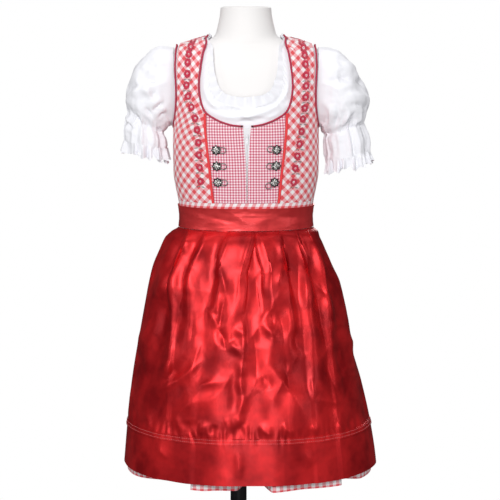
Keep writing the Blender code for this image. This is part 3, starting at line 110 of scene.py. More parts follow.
FRONT_GAP = (
    # height, half width of the gap that shows the zip
    (0.8085, 0.0006), (0.8720, 0.0019), (0.8960, 0.0034), (0.9345, 0.0064),
)

NECK_TURN_HEIGHT = 0.974    # below it the neckline still widens
NECKLINE_AT_SEAM = 0.9585   # where the front seams meet it
EDGE_SPARE = 0.60 * MM      # for the straight sides that stand in for curved edges
NECK_INSET = NECK_PIPING_R + SEAM_GAP + EDGE_SPARE
SEAM_INSET = SEAM_PIPING_R + SEAM_GAP + EDGE_SPARE / 3
SIDE_SEAM_TURN = 0.0014     # half the side seams' gap, as an angle
ARMHOLE_STEPS = 24

# Armholes as ovals seen from the side
BODICE_ARMHOLE = {"height": 0.9950, "half_height": 0.0660, "half_depth": 0.0440}
BLOUSE_ARMHOLE = {"height": 0.9960, "half_height": 0.0615, "half_depth": 0.0380}
SHOULDER_SEAM_TURN = 14    # degrees before the ridge where front and back are joined
SHOULDER_SEAM_DROP = 2.2 * MM

# The blouse's gathered neckline and the frill that stands above it, right half
BLOUSE_NECKLINE = (
    # height, half width
    (0.9655, 0.0000), (0.9665, 0.0150), (0.9700, 0.0300), (0.9790, 0.0460), (0.9950, 0.0550),
    (1.0150, 0.0580), (1.0400, 0.0580), (1.0600, 0.0572),
)
BLOUSE_RIDGE_X = 0.0568    # where the neckline crosses the top of the shoulder
BLOUSE_UNDERARM_COLUMN = 8  # the column that starts under the armhole
BLOUSE_SIDE_SPANS = 2
BLOUSE_BACK_NECKLINE = (
    # height, half width
    (1.0450, 0.0000), (1.0460, 0.0200), (1.0500, 0.0370), (1.0580, 0.0480), (1.0680, 0.0540),
)
FRILL_HEIGHTS = (
    # share of the way from the front's middle to the back's, height of the frill
    (0.00, 0.0175), (0.15, 0.0160), (0.30, 0.0090), (0.45, 0.0060), (0.55, 0.0040), (0.70, 0.0060),
    (1.00, 0.0100),
)
FRILL_WAVES = 44
FRILL_STAND = (3.7 * MM, 6.2 * MM)   # distance from the form, at the frill's foot and top
FRILL_DEPTH = (0.2 * MM, 2.0 * MM)   # half height of its waves, at its foot and top
FRILL_GAP = -1.4 * MM

# The sleeves, each a row of rings from an outer to an inner point seen from the front
SLEEVE_RIGHT = (
    # outer x, outer z, inner x, inner z, half depth, gather depth
    (0.139, 1.0600, 0.1275, 0.9290, 0.0500, 0.0020),
    (0.164, 1.0490, 0.1280, 0.9270, 0.0560, 0.0030),
    (0.188, 1.0110, 0.1285, 0.9260, 0.0570, 0.0030),
    (0.204, 0.9700, 0.1285, 0.9240, 0.0510, 0.0030),
    (0.200, 0.9420, 0.1310, 0.9180, 0.0420, 0.0030),
    (0.200, 0.9310, 0.1325, 0.9080, 0.0410, 0.0035),
    (0.206, 0.9080, 0.1340, 0.8870, 0.0440, 0.0045),
    (0.208, 0.8880, 0.1350, 0.8720, 0.0430, 0.0030),
)
SLEEVE_LEFT = (
    # outer x, outer z, inner x, inner z, half depth, gather depth
    (-0.141, 1.0620, -0.1275, 0.9330, 0.0500, 0.0020),
    (-0.164, 1.0490, -0.1290, 0.9320, 0.0560, 0.0030),
    (-0.187, 1.0190, -0.1320, 0.9310, 0.0570, 0.0030),
    (-0.199, 0.9840, -0.1350, 0.9280, 0.0520, 0.0030),
    (-0.198, 0.9580, -0.1375, 0.9220, 0.0430, 0.0030),
    (-0.198, 0.9420, -0.1375, 0.9120, 0.0400, 0.0035),
    (-0.200, 0.9220, -0.1365, 0.9000, 0.0430, 0.0045),
    (-0.200, 0.9070, -0.1370, 0.8930, 0.0420, 0.0030),
)
SLEEVE_SET_IN = 2.6 * MM
SLEEVE_GATHERS = 12
CUFF_WAVES = 12
CUFF_ROWS = (
    # distance below the elastic, flare, half height of the waves
    (-0.0012, 0.0006, 0.0014), (0.0090, 0.0010, 0.0042), (0.0190, 0.0025, 0.0055),
)

# The apron's outline: half width, front and back depth of its outer face, and sideways shift
SKIRT_OUTLINE = (
    # height, half width, front depth, back depth, shift to the right
    (0.7745, 0.1135, 0.0835, 0.0830, 0.000), (0.7620, 0.1140, 0.0840, 0.0860, 0.000),
    (0.7540, 0.1240, 0.0920, 0.0910, -0.002), (0.7420, 0.1320, 0.1000, 0.0960, -0.006),
    (0.7200, 0.1420, 0.1090, 0.1050, -0.006), (0.7030, 0.1495, 0.1160, 0.1110, -0.006),
    (0.6680, 0.1620, 0.1270, 0.1210, -0.003), (0.6340, 0.1695, 0.1360, 0.1290, -0.002),
    (0.5640, 0.1815, 0.1510, 0.1430, -0.003), (0.4950, 0.1970, 0.1640, 0.1550, 0.001),
    (0.4240, 0.2090, 0.1740, 0.1650, 0.005), (0.3580, 0.2170, 0.1800, 0.1720, 0.007),
    (0.3450, 0.2180, 0.1810, 0.1730, 0.007),
)
SKIRT_SQUARENESS = 2.2

# The apron's pleats. A pleat's edge is where one side of the cloth lies over the other.
APRON_SIDE_ANGLES = (4, 176)     # degrees round from +X, of the apron's two side hems
APRON_PLEATS = (
    # x at the band, x at 0.70, x at 0.60, x at the hem, level on the left, level on the right
    (-0.0960, -0.1200, -0.1330, -0.1600, -1.0, 1.0),
    (-0.0680, -0.0930, -0.1020, -0.1120, -1.0, 1.0),
    (-0.0280, -0.0480, -0.0540, -0.0640, -1.0, 1.0), (0.0120, -0.0020, -0.0100, -0.0140, 1.0, -1.0),
    (0.0180, 0.0330, 0.0330, 0.0330, -1.0, 1.0), (0.0560, 0.0720, 0.0810, 0.0920, 1.0, -1.0),
    (0.0850, 0.1050, 0.1190, 0.1370, 1.0, -1.0), (0.1040, 0.1290, 0.1480, 0.1760, 1.0, -1.0),
)
APRON_FOLD_HEIGHTS = (0.758, 0.70, 0.60, 0.358)
APRON_FOLD_DEPTHS = (
    # height, half the step at a pleat's edge, width of that step
    (0.358, 0.0010, 0.0370), (0.430, 0.0008, 0.0370), (0.520, 0.0014, 0.0320),
    (0.620, 0.0036, 0.0240), (0.700, 0.0056, 0.0110), (0.745, 0.0046, 0.0060),
    (0.7617, 0.0006, 0.0040),
)

# The skirt's hem seen from above: folds come forward at some angles and fall back at others
SKIRT_FOLDS = (
    # degrees round from +X, share of the apron's outline
    (0, 0.955), (10, 0.958), (25, 0.95), (31, 0.80), (36, 0.79), (40, 0.955), (50, 0.93),
    (60, 0.905), (70, 0.935), (78, 0.960), (81, 0.66), (90, 0.62), (94, 0.66), (98, 0.885),
    (108, 0.90), (117, 0.945), (122, 0.945), (127, 0.70), (138, 0.68), (147, 0.82),
    (160, 0.945), (172, 0.965), (180, 0.970), (188, 0.975), (196, 0.980), (203, 0.83), (209, 0.82),
    (216, 0.985), (226, 1.0), (234, 0.975), (240, 0.78), (247, 0.77), (253, 0.97),
    (262, 1.0), (271, 0.98), (277, 0.76), (284, 0.76), (290, 0.97), (299, 1.0),
    (308, 0.98), (314, 0.79), (320, 0.80), (327, 0.985), (338, 1.0), (350, 0.960),
)
SKIRT_FOLD_GROWTH = (
    # height, share of the hem's folds that is there
    (0.3450, 1.00), (0.4500, 0.86), (0.5600, 0.66), (0.6600, 0.44), (0.7200, 0.28), (0.7500, 0.12),
    (0.7745, 0.00),
)
SKIRT_TUCK = (
    # height, how much further in the skirt lies, to pass behind the apron's band
    (0.7450, 0.0), (0.7600, 0.0010), (0.7745, 0.0010),
)
TUCK_TOP, TUCK_BOTTOM = 0.4350, 0.4250
TUCK_LIFT, TUCK_OPENS = 0.35 * MM, 0.9 * MM    # off the apron at its top, and more below
SKIRT_SEAM = 0.09           # half the side seams' gap, in degrees
APRON_TOP, APRON_BOTTOM = 0.7617, 0.3580
LEAST_MITRE = 0.72          # a fold's corner is moved out at most by the wall over this
UNDERARM_COLUMNS, UNDERARM_SAG = 3.0, 0.30   # how wide and how far it dips below the arm
NECK_ROW_POWER = 1.35       # rows lie closer together near a neckline, where it curves most
WAISTBAND_BOTTOM = 0.7747

# Metal ornaments on the front panels, placed from the figure's middle and the floor
HOOKS = (
    # name, x, height, ring's direction in degrees from the middle of the front
    ("hook_left_1", -0.0470, 0.8960, 0),
    ("hook_left_2", -0.0462, 0.8700, 0),
    ("hook_left_3", -0.0447, 0.8435, 0),
    ("hook_right_1", 0.0490, 0.8965, 172),
    ("hook_right_2", 0.0480, 0.8705, 180),
    ("hook_right_3", 0.0455, 0.8435, 208),
)
HOOK_R, HOOK_THICK = 5.9 * MM, 2.6 * MM
RING_R, RING_WIRE = 4.6 * MM, 0.85 * MM

# The apron's bow, behind
BOW_HEIGHT = 0.781
KNOT_W, KNOT_H, KNOT_T = 0.024, 0.030, 0.012
KNOT_STAND = 2.0 * MM
KNOT_ROWS, KNOT_COLUMNS = 40, 56
RIBBON_HALF = 0.3 * MM
LOOP_FOLD, LOOP_RUFFLE = 0.9 * MM, 0.5 * MM    # heights of its long folds and its creases
TAIL_FOLD, TAIL_RUFFLE, TAIL_SLANT = 1.5 * MM, 0.8 * MM, 0.010
LOOP_REACH, LOOP_DROP, LOOP_BULGE = 0.088, 0.018, 0.0055
LOOP_W, LOOP_ROOT_W = 0.036, 0.024
TAIL_W, TAIL_ROOT_W, TAIL_LENGTH = 0.038, 0.011, 0.265
TAIL_START, TAIL_SPREAD = 0.0058, 0.030  # a tail's distance from the knot's middle, and its growth
TAIL_SPREAD_POWER = 0.7     # most of the spread comes just below the knot
TAIL_FULL_AT = 1 / 3        # share of its length where a tail is full width
BOW_RETREAT = 0.006         # how far the loops' ends lean back towards the skirt
TAIL_CLEAR = 0.002

# Zip
ZIP_TAPE_WIDTH = 0.0090
ZIP_TOP = 0.9320
SLIDER_HEIGHT = 0.9185
SLIDER_W, SLIDER_L, SLIDER_T = 5.0 * MM, 8.0 * MM, 1.6 * MM
PULL_W, PULL_L, PULL_T = 3.2 * MM, 13.0 * MM, 0.8 * MM
EYE_BAR, EYE_SPACE = 0.9 * MM, 1.8 * MM
PULL_HOLE_L, PULL_SLOT_R = 3.2 * MM, 0.9 * MM
ZIP_SPLIT = 0.5 * MM

FORM_INSET = 4.1 * MM    # the form's own surface lies that far inside the sections above
FORM_SIDES = 96


# Shape functions, the same as the solids'

def curve_through(table):
    """A smooth function through the table's rows, with the first column as its input.

    Between rows it is a cubic whose slopes never overshoot the table."""
    rows = np.array(sorted(table, key=lambda row: row[0]), float)
    inputs, values = rows[:, 0], rows[:, 1:]
    steps = np.diff(inputs)[:, None]
    rises = np.diff(values, axis=0) / steps
    slopes = np.empty_like(values)
    slopes[0], slopes[-1] = rises[0], rises[-1]
    before, after = rises[:-1], rises[1:]
    same_way = before * after > 0
    total = np.where(same_way, before + after, 1.0)
    slopes[1:-1] = np.where(same_way, 2 * before * after / total, 0.0)

    def value(at):
        at = np.clip(np.asarray(at, float), inputs[0], inputs[-1])
        index = np.clip(np.searchsorted(inputs, at, side="right") - 1, 0, len(inputs) - 2)
        width = steps[index, 0][..., None]
        share = ((at - inputs[index])[..., None]) / width
        start, end = values[index], values[index + 1]
        rise_in, rise_out = slopes[index] * width, slopes[index + 1] * width
        square, cube = share**2, share**3
        return (
            start * (2 * cube - 3 * square + 1)
            + rise_in * (cube - 2 * square + share)
            + end * (3 * square - 2 * cube)
            + rise_out * (cube - square)
        )

    return value


def oval_radius(angle, half_width, front, back, squareness):
    """Distance from the axis to an oval section, whose front half faces -Y."""
    depth = np.where(np.sin(angle) >= 0, front, back)
    wide = (np.abs(np.cos(angle)) / half_width) ** squareness
    deep = (np.abs(np.sin(angle)) / depth) ** squareness
    return (wide + deep) ** (-1 / squareness)


form_section = curve_through(FORM_SECTIONS)
skirt_outline = curve_through(SKIRT_OUTLINE)
skirt_fold = curve_through(
    [(a + turn, share) for turn in (-360, 0, 360) for a, share in SKIRT_FOLDS]
)
skirt_fold_growth = curve_through(SKIRT_FOLD_GROWTH)
apron_fold = curve_through(APRON_FOLD_DEPTHS)
skirt_tuck = curve_through(SKIRT_TUCK)
front_gap = curve_through(FRONT_GAP)
neck_width_at = curve_through(NECKLINE)
neck_height_at = curve_through([(x, z) for z, x in NECKLINE if z < NECK_TURN_HEIGHT])


def form_point(angle, height):
    """Points of the form's surface. Angle 0 is +X and 90 degrees is the front."""
    half_width, front, back, squareness = np.moveaxis(form_section(height), -1, 0)
    radius = oval_radius(angle, half_width, front, back, squareness)
    return np.stack([
        GARMENT_X + radius * np.cos(angle), GARMENT_Y - radius * np.sin(angle),
        height + 0 * radius,
    ], -1)


def cloth_point(angle, height, off):
    """Points that far outside the form, square to its surface."""
    angle, height = np.broadcast_arrays(np.asarray(angle, float), np.asarray(height, float))
    turn, rise = 2e-3, 0.5 * MM
    around = form_point(angle + turn, height) - form_point(angle - turn, height)
    upward = form_point(angle, height + rise) - form_point(angle, height - rise)
    normal = np.cross(upward, around)
    normal /= np.linalg.norm(normal, axis=-1, keepdims=True)
    off = np.broadcast_to(np.asarray(off, float), angle.shape)[..., None]
    return form_point(angle, height) + normal * off


def at_form(places):
    """Points of the form's surface at (angle, height) places."""
    return form_point(places[..., 0], places[..., 1])


def lifted(places, off):
    """Points that far off the form at (angle, height) places."""
    return cloth_point(places[..., 0], places[..., 1], off)


def seen_from_front(x, height, back=False):
    """(angle, height) of the surface point at x from the middle, on the front or the back."""
    half_width, front, rear, squareness = form_section(height)
    depth = rear if back else front
    share = min(abs(x) / half_width, 1.0)
    y = depth * (1 - share**squareness) ** (1 / squareness)
    angle = math.atan2(y, x)
    return np.array([-angle if back else angle, height])


def seen_from_side(y, height):
    """(angle, height) of the right side's surface point at depth y, front depths negative."""
    half_width, front, rear, squareness = form_section(height)
    depth = front if y < 0 else rear
    share = min(abs(y) / depth, 1.0)
    x = half_width * (1 - share**squareness) ** (1 / squareness)
    return np.array([math.atan2(-y, x), height])


def ridge(x):
    """(angle, height) of the top of the shoulder at x from the middle."""
    low, high = RIDGE_LOW, RIDGE_HIGH
    for _ in range(40):
        middle = (low + high) / 2
        if form_section(middle)[0] > x:
            low = middle
        else:
            high = middle
    return np.array([0.0, low])


def armhole(oval, turn, grown=0.0):
    """(angle, height) on an armhole, turned from the shoulder (0) by the front to below (180)."""
    turn = math.radians(turn)
    y = -(oval["half_depth"] + grown) * math.sin(turn)
    return seen_from_side(y, oval["height"] + (oval["half_height"] + grown) * math.cos(turn))


def seam_end(oval, x, grown=0.0):
    """The shoulder seam's two ends, at the neck and at the armhole."""
    top = ridge(x + grown)
    y = -oval["half_depth"] * math.sin(math.radians(SHOULDER_SEAM_TURN))
    at_neck = np.array([math.atan2(-y, x + grown), top[1] - SHOULDER_SEAM_DROP])
    return at_neck, armhole(oval, SHOULDER_SEAM_TURN, grown)


def path(points):
    """A function that runs along the points, smoothly, as its input goes from 0 to 1.

    Each point is (angle, height). Equal shares of the input cover equal shares of length."""
    points = np.array(points)
    where = at_form(points)
    steps = np.linalg.norm(np.diff(where, axis=0), axis=1)
    along = np.concatenate([[0], np.cumsum(steps)]) / steps.sum()
    return curve_through(np.column_stack([along, points]))


def sampled(*stretches):
    """Points along several paths in a row, each given as (path, number of spans)."""
    out = [stretches[0][0](np.array([0.0]))]
    for stretch, spans in stretches:
        out.append(stretch(np.linspace(0, 1, spans + 1)[1:]))
    return np.concatenate(out)


def moved_aside(rows, distance):
    """(height, x) rows moved square to their line as seen from the front, to its right side."""
    line = np.array([(x, z) for z, x in rows])
    ahead = np.gradient(line, axis=0)
    if line[0, 0] == 0:
        ahead[0] = (1, 0)
    ahead /= np.linalg.norm(ahead, axis=1, keepdims=True)
    moved = line + distance * np.column_stack([ahead[:, 1], -ahead[:, 0]])
    return [(z, x) for x, z in moved]


def crossing(neckline, seam):
    """(x, height) where a neckline and an upright seam meet, both as (height, x) rows."""
    rising = [(x, z) for z, x in neckline if z < NECK_TURN_HEIGHT]
    height_at, x_at = curve_through(rising), curve_through(seam)
    height = rising[-1][1]
    for _ in range(30):
        x = float(x_at(height)[0])
        height = float(height_at(x)[0])
    return x, height


def mirrored(points, back=False):
    """The same (angle, height) points on the other side of the figure."""
    return points * [-1, 1] + [-math.pi if back else math.pi, 0]


def patch(bottom, top, left, right):
    """(angle, height) for a grid between four rows of points, left and right running upwards."""
    across = np.linspace(0, 1, len(bottom))[None, :, None]
    along = np.linspace(0, 1, len(left))[:, None, None]
    blend = (1 - along) * bottom[None] + along * top[None]
    blend = blend + (1 - across) * left[:, None] + across * right[:, None]
    corners = (
        (1 - across) * (1 - along) * bottom[0]
        + across * (1 - along) * bottom[-1]
        + (1 - across) * along * top[0]
        + across * along * top[-1]
    )
    return blend - corners


def wrapped_round_neck(outer, inner, rows, back=False, below_arm=None, fine=1):
    """A grid from a neckline out to a panel's other edges, from one shoulder to the other.

    Both come as the right half's points, from the shoulder seam to the middle. Columns that
    start near the below_arm point first run level, to pass under the armhole."""
    share = 1 - np.linspace(1, 0, rows + 1)[:, None, None] ** NECK_ROW_POWER
    half = outer[None] * (1 - share) + inner[None] * share
    if below_arm is not None:
        near = np.exp(-(((np.arange(len(outer)) - below_arm) / (UNDERARM_COLUMNS * fine)) ** 2))
        sag = UNDERARM_SAG * near[None, :] * (4 * share * (1 - share))[..., 0]
        half[..., 1] -= sag * (inner[:, 1] - outer[:, 1])
    return np.concatenate([half, mirrored(half, back)[:, -2::-1]], axis=1)


def drawn_in(grid, bottom=0.0, top=0.0, left=0.0, right=0.0):
    """The grid with its edges moved in along the surface by those distances."""
    grid = grid.copy()
    for edge, inner, distance in ((0, 1, bottom), (-1, -2, top)):
        grid[edge] = moved_towards(grid[edge], grid[inner], distance)
    for edge, inner, distance in ((0, 1, left), (-1, -2, right)):
        grid[:, edge] = moved_towards(grid[:, edge], grid[:, inner], distance)
    return grid


def moved_towards(edge, inner, distance):
    span = at_form(inner) - at_form(edge)
    share = distance / np.linalg.norm(span, axis=1)
    return edge + (inner - edge) * share[:, None]


def grid_normals(grid, wrap):
    """Outward directions of a grid of points, and how much longer a mitred offset is there."""
    around = np.concatenate([grid[:, -1:], grid, grid[:, :1]], axis=1) if wrap else grid
    steps = np.diff(around, axis=1)
    if not wrap:
        steps = np.concatenate([steps[:, :1], steps, steps[:, -1:]], axis=1)
    along = np.gradient(grid, axis=0)
    before, after = np.cross(steps[:, :-1], along), np.cross(steps[:, 1:], along)
    before /= np.linalg.norm(before, axis=-1, keepdims=True)
    after /= np.linalg.norm(after, axis=-1, keepdims=True)
    normal = before + after
    normal /= np.linalg.norm(normal, axis=-1, keepdims=True)
    longer = 1 / np.maximum((normal * after).sum(-1, keepdims=True), LEAST_MITRE)
    if (normal * (grid - grid.mean((0, 1)))).sum() < 0:
        normal = -normal
    return normal, longer


def moved_out(grid, distance, wrap=False):
    """The grid moved outwards, or inwards where the distance is negative."""
    normal, longer = grid_normals(grid, wrap)
    return grid + normal * longer * distance


def blouse_neck(back=False):
    """The blouse's neckline from the shoulder seam to the middle, on the right."""
    rows = BLOUSE_BACK_NECKLINE if back else BLOUSE_NECKLINE
    half = [seen_from_front(x, z, back) for z, x in rows][::-1]
    start = seam_end(BLOUSE_ARMHOLE, BLOUSE_RIDGE_X)[0]
    over = [ridge(BLOUSE_RIDGE_X)] if back else []
    return path([start] + over + half)


def waist_line(start, end, spans):
    """Points of the bodice's lower edge between two angles."""
    angles = np.linspace(start, end, spans + 1)
    return np.column_stack([angles, np.full(spans + 1, WAIST)])


def rear_seam():
    """The curved back seam from the armhole down to the waist."""
    start = armhole(BODICE_ARMHOLE, -BACK_PRINCESS_TURN, NECK_INSET)
    lower = [seen_from_front(x, z, back=True) for z, x in BACK_PRINCESS]
    return path([start] + lower)


def closed_up_to_zip(grid):
    """The left front panel widened to the zip, which isn't quite on the figure's middle."""
    grid = grid.copy()
    share = np.linspace(1, 0, grid.shape[1]) ** 2
    for row in grid:
        height = row[0, 1]
        edge = seen_from_front(ZIP_X - float(front_gap(height)[0]), height)
        row[:, 0] += (edge[0] - row[0, 0]) * share
    return grid


def in_wall(points, lift):
    """Points in the middle of the bodice's wall, moved out by lift."""
    return lifted(points, sum(BODICE_FACES) / 2 + lift)


def surface_frame(x, height, off):
    """A matrix whose X runs right, Y into the figure and Z up, square to the form there."""
    angle, _ = seen_from_front(x, height)
    foot, tip = cloth_point(angle, height, off), cloth_point(angle, height, off + 0.01)
    inward = Vector(foot - tip).normalized()
    right = inward.cross(Vector((0, 0, 1))).normalized()
    up = right.cross(inward)
    matrix = Matrix((right, inward, up)).transposed().to_4x4()
    matrix.translation = Vector(foot)
    return np.array(matrix)


def placed(points, where):
    """The points carried to a place that is given as such a matrix."""
    return points @ where[:3, :3].T + where[:3, 3]


def outline_radius(angle, height):
    """Distance from the skirts' axis to their outline."""
    half_width, front, back, _ = np.moveaxis(skirt_outline(height), -1, 0)
    return oval_radius(angle, half_width, front, back, SKIRT_SQUARENESS)


def around_skirt(angle, height, radius):
    """Points at that distance from the skirts' axis."""
    shift = skirt_outline(height)[..., 3]
    return np.stack([
        GARMENT_X + shift + radius * np.cos(angle), GARMENT_Y - radius * np.sin(angle),
        height + 0 * radius,
    ], -1)


def skirt_radius(degrees, height):
    angle = np.radians(degrees)
    outline = outline_radius(angle, height)
    share = skirt_fold(degrees)[..., 0]
    growth = skirt_fold_growth(height)[..., 0]
    inside_apron = apron_fold(height)[..., 0] + APRON_WALL + APRON_CLEAR
    inside_apron = inside_apron + skirt_tuck(height)[..., 0]
    return np.minimum(outline * (1 - (1 - share) * growth), outline - inside_apron)


# Meshes

def full_turn(count):
    """That many angles, evenly spread round a full turn."""
    return np.arange(count) * 2 * math.pi / count


def on_circle(turns, reach, level=0.0):
    """Places round a circle, for noise that has to close up after a full turn."""
    return np.stack([np.cos(turns) * reach, np.sin(turns) * reach, 0 * turns + level], -1)


def grid_quads(rows, columns, wrap):
    """Corner numbers of the four-sided faces of a grid of points."""
    row, column = np.meshgrid(
        np.arange(rows - 1), np.arange(columns if wrap else columns - 1), indexing="ij"
    )
    low, after = row * columns, (column + 1) % columns
    corners = [low + column, low + after, low + columns + after, low + columns + column]
    return np.stack(corners, -1).reshape(-1, 4)


def add_mesh(name, points, faces, finish, weave=None, sharp=50, body="dressed_form"):
    """An object with smooth shading, which rides on a body and gets the material of its finish."""
    points = np.asarray(points, float)
    mesh = bpy.data.meshes.new(name)
    mesh.from_pydata(points, [], faces)
    mesh.update()
    mesh.shade_smooth()
    mesh.set_sharp_from_angle(angle=math.radians(sharp))
    if weave is not None:
        layer = mesh.attributes.new("weave", "FLOAT_VECTOR", "POINT")
        flat = np.zeros((len(points), 3))
        flat[:, :2] = weave
        layer.data.foreach_set("vector", flat.ravel())
    made = bpy.data.objects.new(name, mesh)
    bpy.context.scene.collection.objects.link(made)
    made.data.materials.append(material(finish))
    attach(made, body)
    return made


def outward(points, faces):
    """The faces, all turned over if they enclose a negative volume."""
    a, b, c, d = (points[faces[:, k]] for k in range(4))
    volume = (np.cross(a, b) * c).sum() + (np.cross(a, c) * d).sum()
    return faces if volume > 0 else faces[:, ::-1]


def shell(name, outer, inner, finish, wrap=False, weave=None, sharp=50):
    """A thin closed sheet between two grids of points."""
    rows, columns = outer.shape[:2]
    points = np.concatenate([outer.reshape(-1, 3), inner.reshape(-1, 3)])
    skin = grid_quads(rows, columns, wrap)
    count = rows * columns
    ring = np.arange(columns if wrap else columns - 1)
    after = (ring + 1) % columns
    last = count - columns
    rims = [
        np.stack([after, ring, count + ring, count + after], -1),
        np.stack([last + ring, last + after, count + last + after, count + last + ring], -1),
    ]
    if not wrap:
        left = np.arange(rows - 1) * columns
        right = left + columns - 1
        rims += [
            np.stack([left, left + columns, count + left + columns, count + left], -1),
            np.stack([right + columns, right, count + right, count + right + columns], -1),
        ]
    faces = outward(points, np.concatenate([skin, skin[:, ::-1] + count] + rims))
    if weave is not None:
        weave = np.concatenate([weave.reshape(-1, 2)] * 2)
    return add_mesh(name, points, faces.tolist(), finish, weave, sharp)


def cord_mesh(centres, radius, sides, closed=False, squash=1.0, up=None):
    """Points and faces of a cord along the centres; its ends are closed by a point each."""
    centres = np.asarray(centres, float)
    if closed:
        ahead = np.roll(centres, -1, axis=0) - np.roll(centres, 1, axis=0)
    else:
        ahead = np.gradient(centres, axis=0)
    ahead /= np.linalg.norm(ahead, axis=1, keepdims=True)
    if up is None:
        up = centres - centres.mean(0)
    up = np.broadcast_to(up, centres.shape)
    across = np.cross(ahead, up)
    across /= np.linalg.norm(across, axis=1, keepdims=True)
    lift = np.cross(across, ahead)
    turns = full_turn(sides)
    radius = np.broadcast_to(radius, len(centres))[:, None, None]
    rings = centres[:, None] + radius * (
        np.cos(turns)[None, :, None] * across[:, None]
        + squash * np.sin(turns)[None, :, None] * lift[:, None]
    )
    count = len(centres)
    points = rings.reshape(-1, 3)
    faces = []
    for k in range(count if closed else count - 1):
        n = (k + 1) % count
        for s in range(sides):
            t = (s + 1) % sides
            faces.append([k * sides + s, k * sides + t, n * sides + t, n * sides + s])
    if not closed:
        points = np.concatenate([points, centres[:1], centres[-1:]])
        first, last = count * sides, count * sides + 1
        low = (count - 1) * sides
        for s in range(sides):
            t = (s + 1) % sides
            faces.append([s, first, t])
            faces.append([low + s, low + t, last])
    return points, faces


def capped(rings, flipped=False):
    """Points and faces of a closed body made of rings, with a flat face at either end."""
    rings = np.asarray(rings)
    count = rings.shape[1]
    points = rings.reshape(-1, 3)
    faces = outward(points, grid_quads(len(rings), count, wrap=True)).tolist()
    first, last = list(range(count)), list(range(len(points) - count, len(points)))
    if flipped:
        return points, faces + [first, last[::-1]]
    return points, faces + [first[::-1], last]


def joined(parts):
    """Several (points, faces) as one."""
    points, faces, start = [], [], 0
    for some_points, some_faces in parts:
        points.append(some_points)
        faces += [[start + k for k in face] for face in some_faces]
        start += len(some_points)
    return np.concatenate(points), faces


# Folds and noise

def lattice_noise(points, size, seed):
    """Smooth noise from -1 to 1 at 3-D points, with bumps about that size."""
    cells = 32
    table = np.random.RandomState(seed).uniform(-1, 1, (cells, cells, cells))
    place = np.asarray(points, float) / size
    low = np.floor(place).astype(int)
    part = place - low
    part = part * part * part * (part * (part * 6 - 15) + 10)
    total = 0.0
    for dx in (0, 1):
        for dy in (0, 1):
            for dz in (0, 1):
                share = 1.0
                for axis, step in enumerate((dx, dy, dz)):
                    share = share * (part[..., axis] if step else 1 - part[..., axis])
                corner = [(low[..., k] + s) % cells for k, s in enumerate((dx, dy, dz))]
                total = total + share * table[corner[0], corner[1], corner[2]]
    return total


def crumple(points, size, seed, stretch=(1, 1, 1)):
    """Cloth-like noise: soft bumps with a few narrower ridges."""
    place = np.asarray(points, float) / np.asarray(stretch, float)
    soft = lattice_noise(place, size, seed)
    ridges = 1 - 2 * np.abs(lattice_noise(place, size * 0.8, seed + 1))
    fine = 1 - 2 * np.abs(lattice_noise(place, size * 0.37, seed + 2))
    return 0.55 * soft + 0.35 * ridges + 0.18 * fine


def eased(share):
    return share * share * (3 - 2 * share)


def smooth(low, high, at):
    """0 below low, 1 above high and an eased step between."""
    return eased(np.clip((np.asarray(at, float) - low) / (high - low), 0, 1))


CREASE_STEP = 1.3 * MM
RIDGE_TOP, RIDGE_FALL, RIDGE_ROUND = 0.3, 1.4, 0.05         # of a crease's own profile
TROUGH_DEPTH, TROUGH_AWAY, TROUGH_WIDE = 0.4, 1.7, 1.2      # share of its height, then widths


def pressed(x, z, creases):
    """Heights of folds laid over a piece, seen from the front.

    Each row is a line from (x0, z0) to (x1, z1), with x from the figure's middle and z from
    the floor, the bend of its middle to the left, its width and its height. A ridge has a
    shallow trough on its right side, and fades out at both ends; a negative height makes a
    trough with a ridge."""
    total = np.zeros(np.broadcast(x, z).shape)
    for x0, z0, x1, z1, bend, width, height in creases:
        long = math.hypot(x1 - x0, z1 - z0)
        share = np.linspace(0, 1, max(12, int(long / CREASE_STEP)))
        side_x, side_z = -(z1 - z0) / long, (x1 - x0) / long
        arc = bend * 4 * share * (1 - share)
        line_x = x0 + (x1 - x0) * share + side_x * arc
        line_z = z0 + (z1 - z0) * share + side_z * arc
        away_x, away_z = x[..., None] - line_x, z[..., None] - line_z
        far = away_x**2 + away_z**2
        nearest = far.argmin(-1)
        gap = np.sqrt(far.min(-1))
        pick = nearest[..., None]
        sign = np.sign(
            np.take_along_axis(away_x, pick, -1)[..., 0] * side_x
            + np.take_along_axis(away_z, pick, -1)[..., 0] * side_z
        )
        fade = np.sin(math.pi * np.clip(share[nearest], 0.03, 0.97))
        off = gap * sign / width
        trough = TROUGH_DEPTH * np.exp(-((off + TROUGH_AWAY) / TROUGH_WIDE) ** 2)
        profile = np.exp(RIDGE_TOP - RIDGE_FALL * np.sqrt(off**2 + RIDGE_ROUND)) - trough
        total = total + height * fade * profile
    return total


FLAT_OVERSTEP = 1.6        # each round moves the points that much further than they ask


def flattened(points, start, rounds=260):
    """(u, v) of the cloth's points before it was sewn: lengths are kept as well as they can be.

    start gives each point's rough place; springs between neighbours then even it out."""
    flat = start.copy()
    pairs = (
        ((slice(None), slice(1, None)), (slice(None), slice(None, -1))),
        ((slice(1, None), slice(None)), (slice(None, -1), slice(None))),
        ((slice(1, None), slice(1, None)), (slice(None, -1), slice(None, -1))),
        ((slice(1, None), slice(None, -1)), (slice(None, -1), slice(1, None))),
    )
    lengths = [np.linalg.norm(points[a] - points[b], axis=-1) for a, b in pairs]
    for _ in range(rounds):
        move, times = np.zeros_like(flat), np.zeros(flat.shape[:2])
        for (a, b), length in zip(pairs, lengths):
            span = flat[a] - flat[b]
            now = np.maximum(np.linalg.norm(span, axis=-1), 1e-9)
            push = span * ((length - now) / now / 2)[..., None]
            move[a] += push
            move[b] -= push
            times[a] += 1
            times[b] += 1
        flat += move / times[..., None] * FLAT_OVERSTEP
    return flat


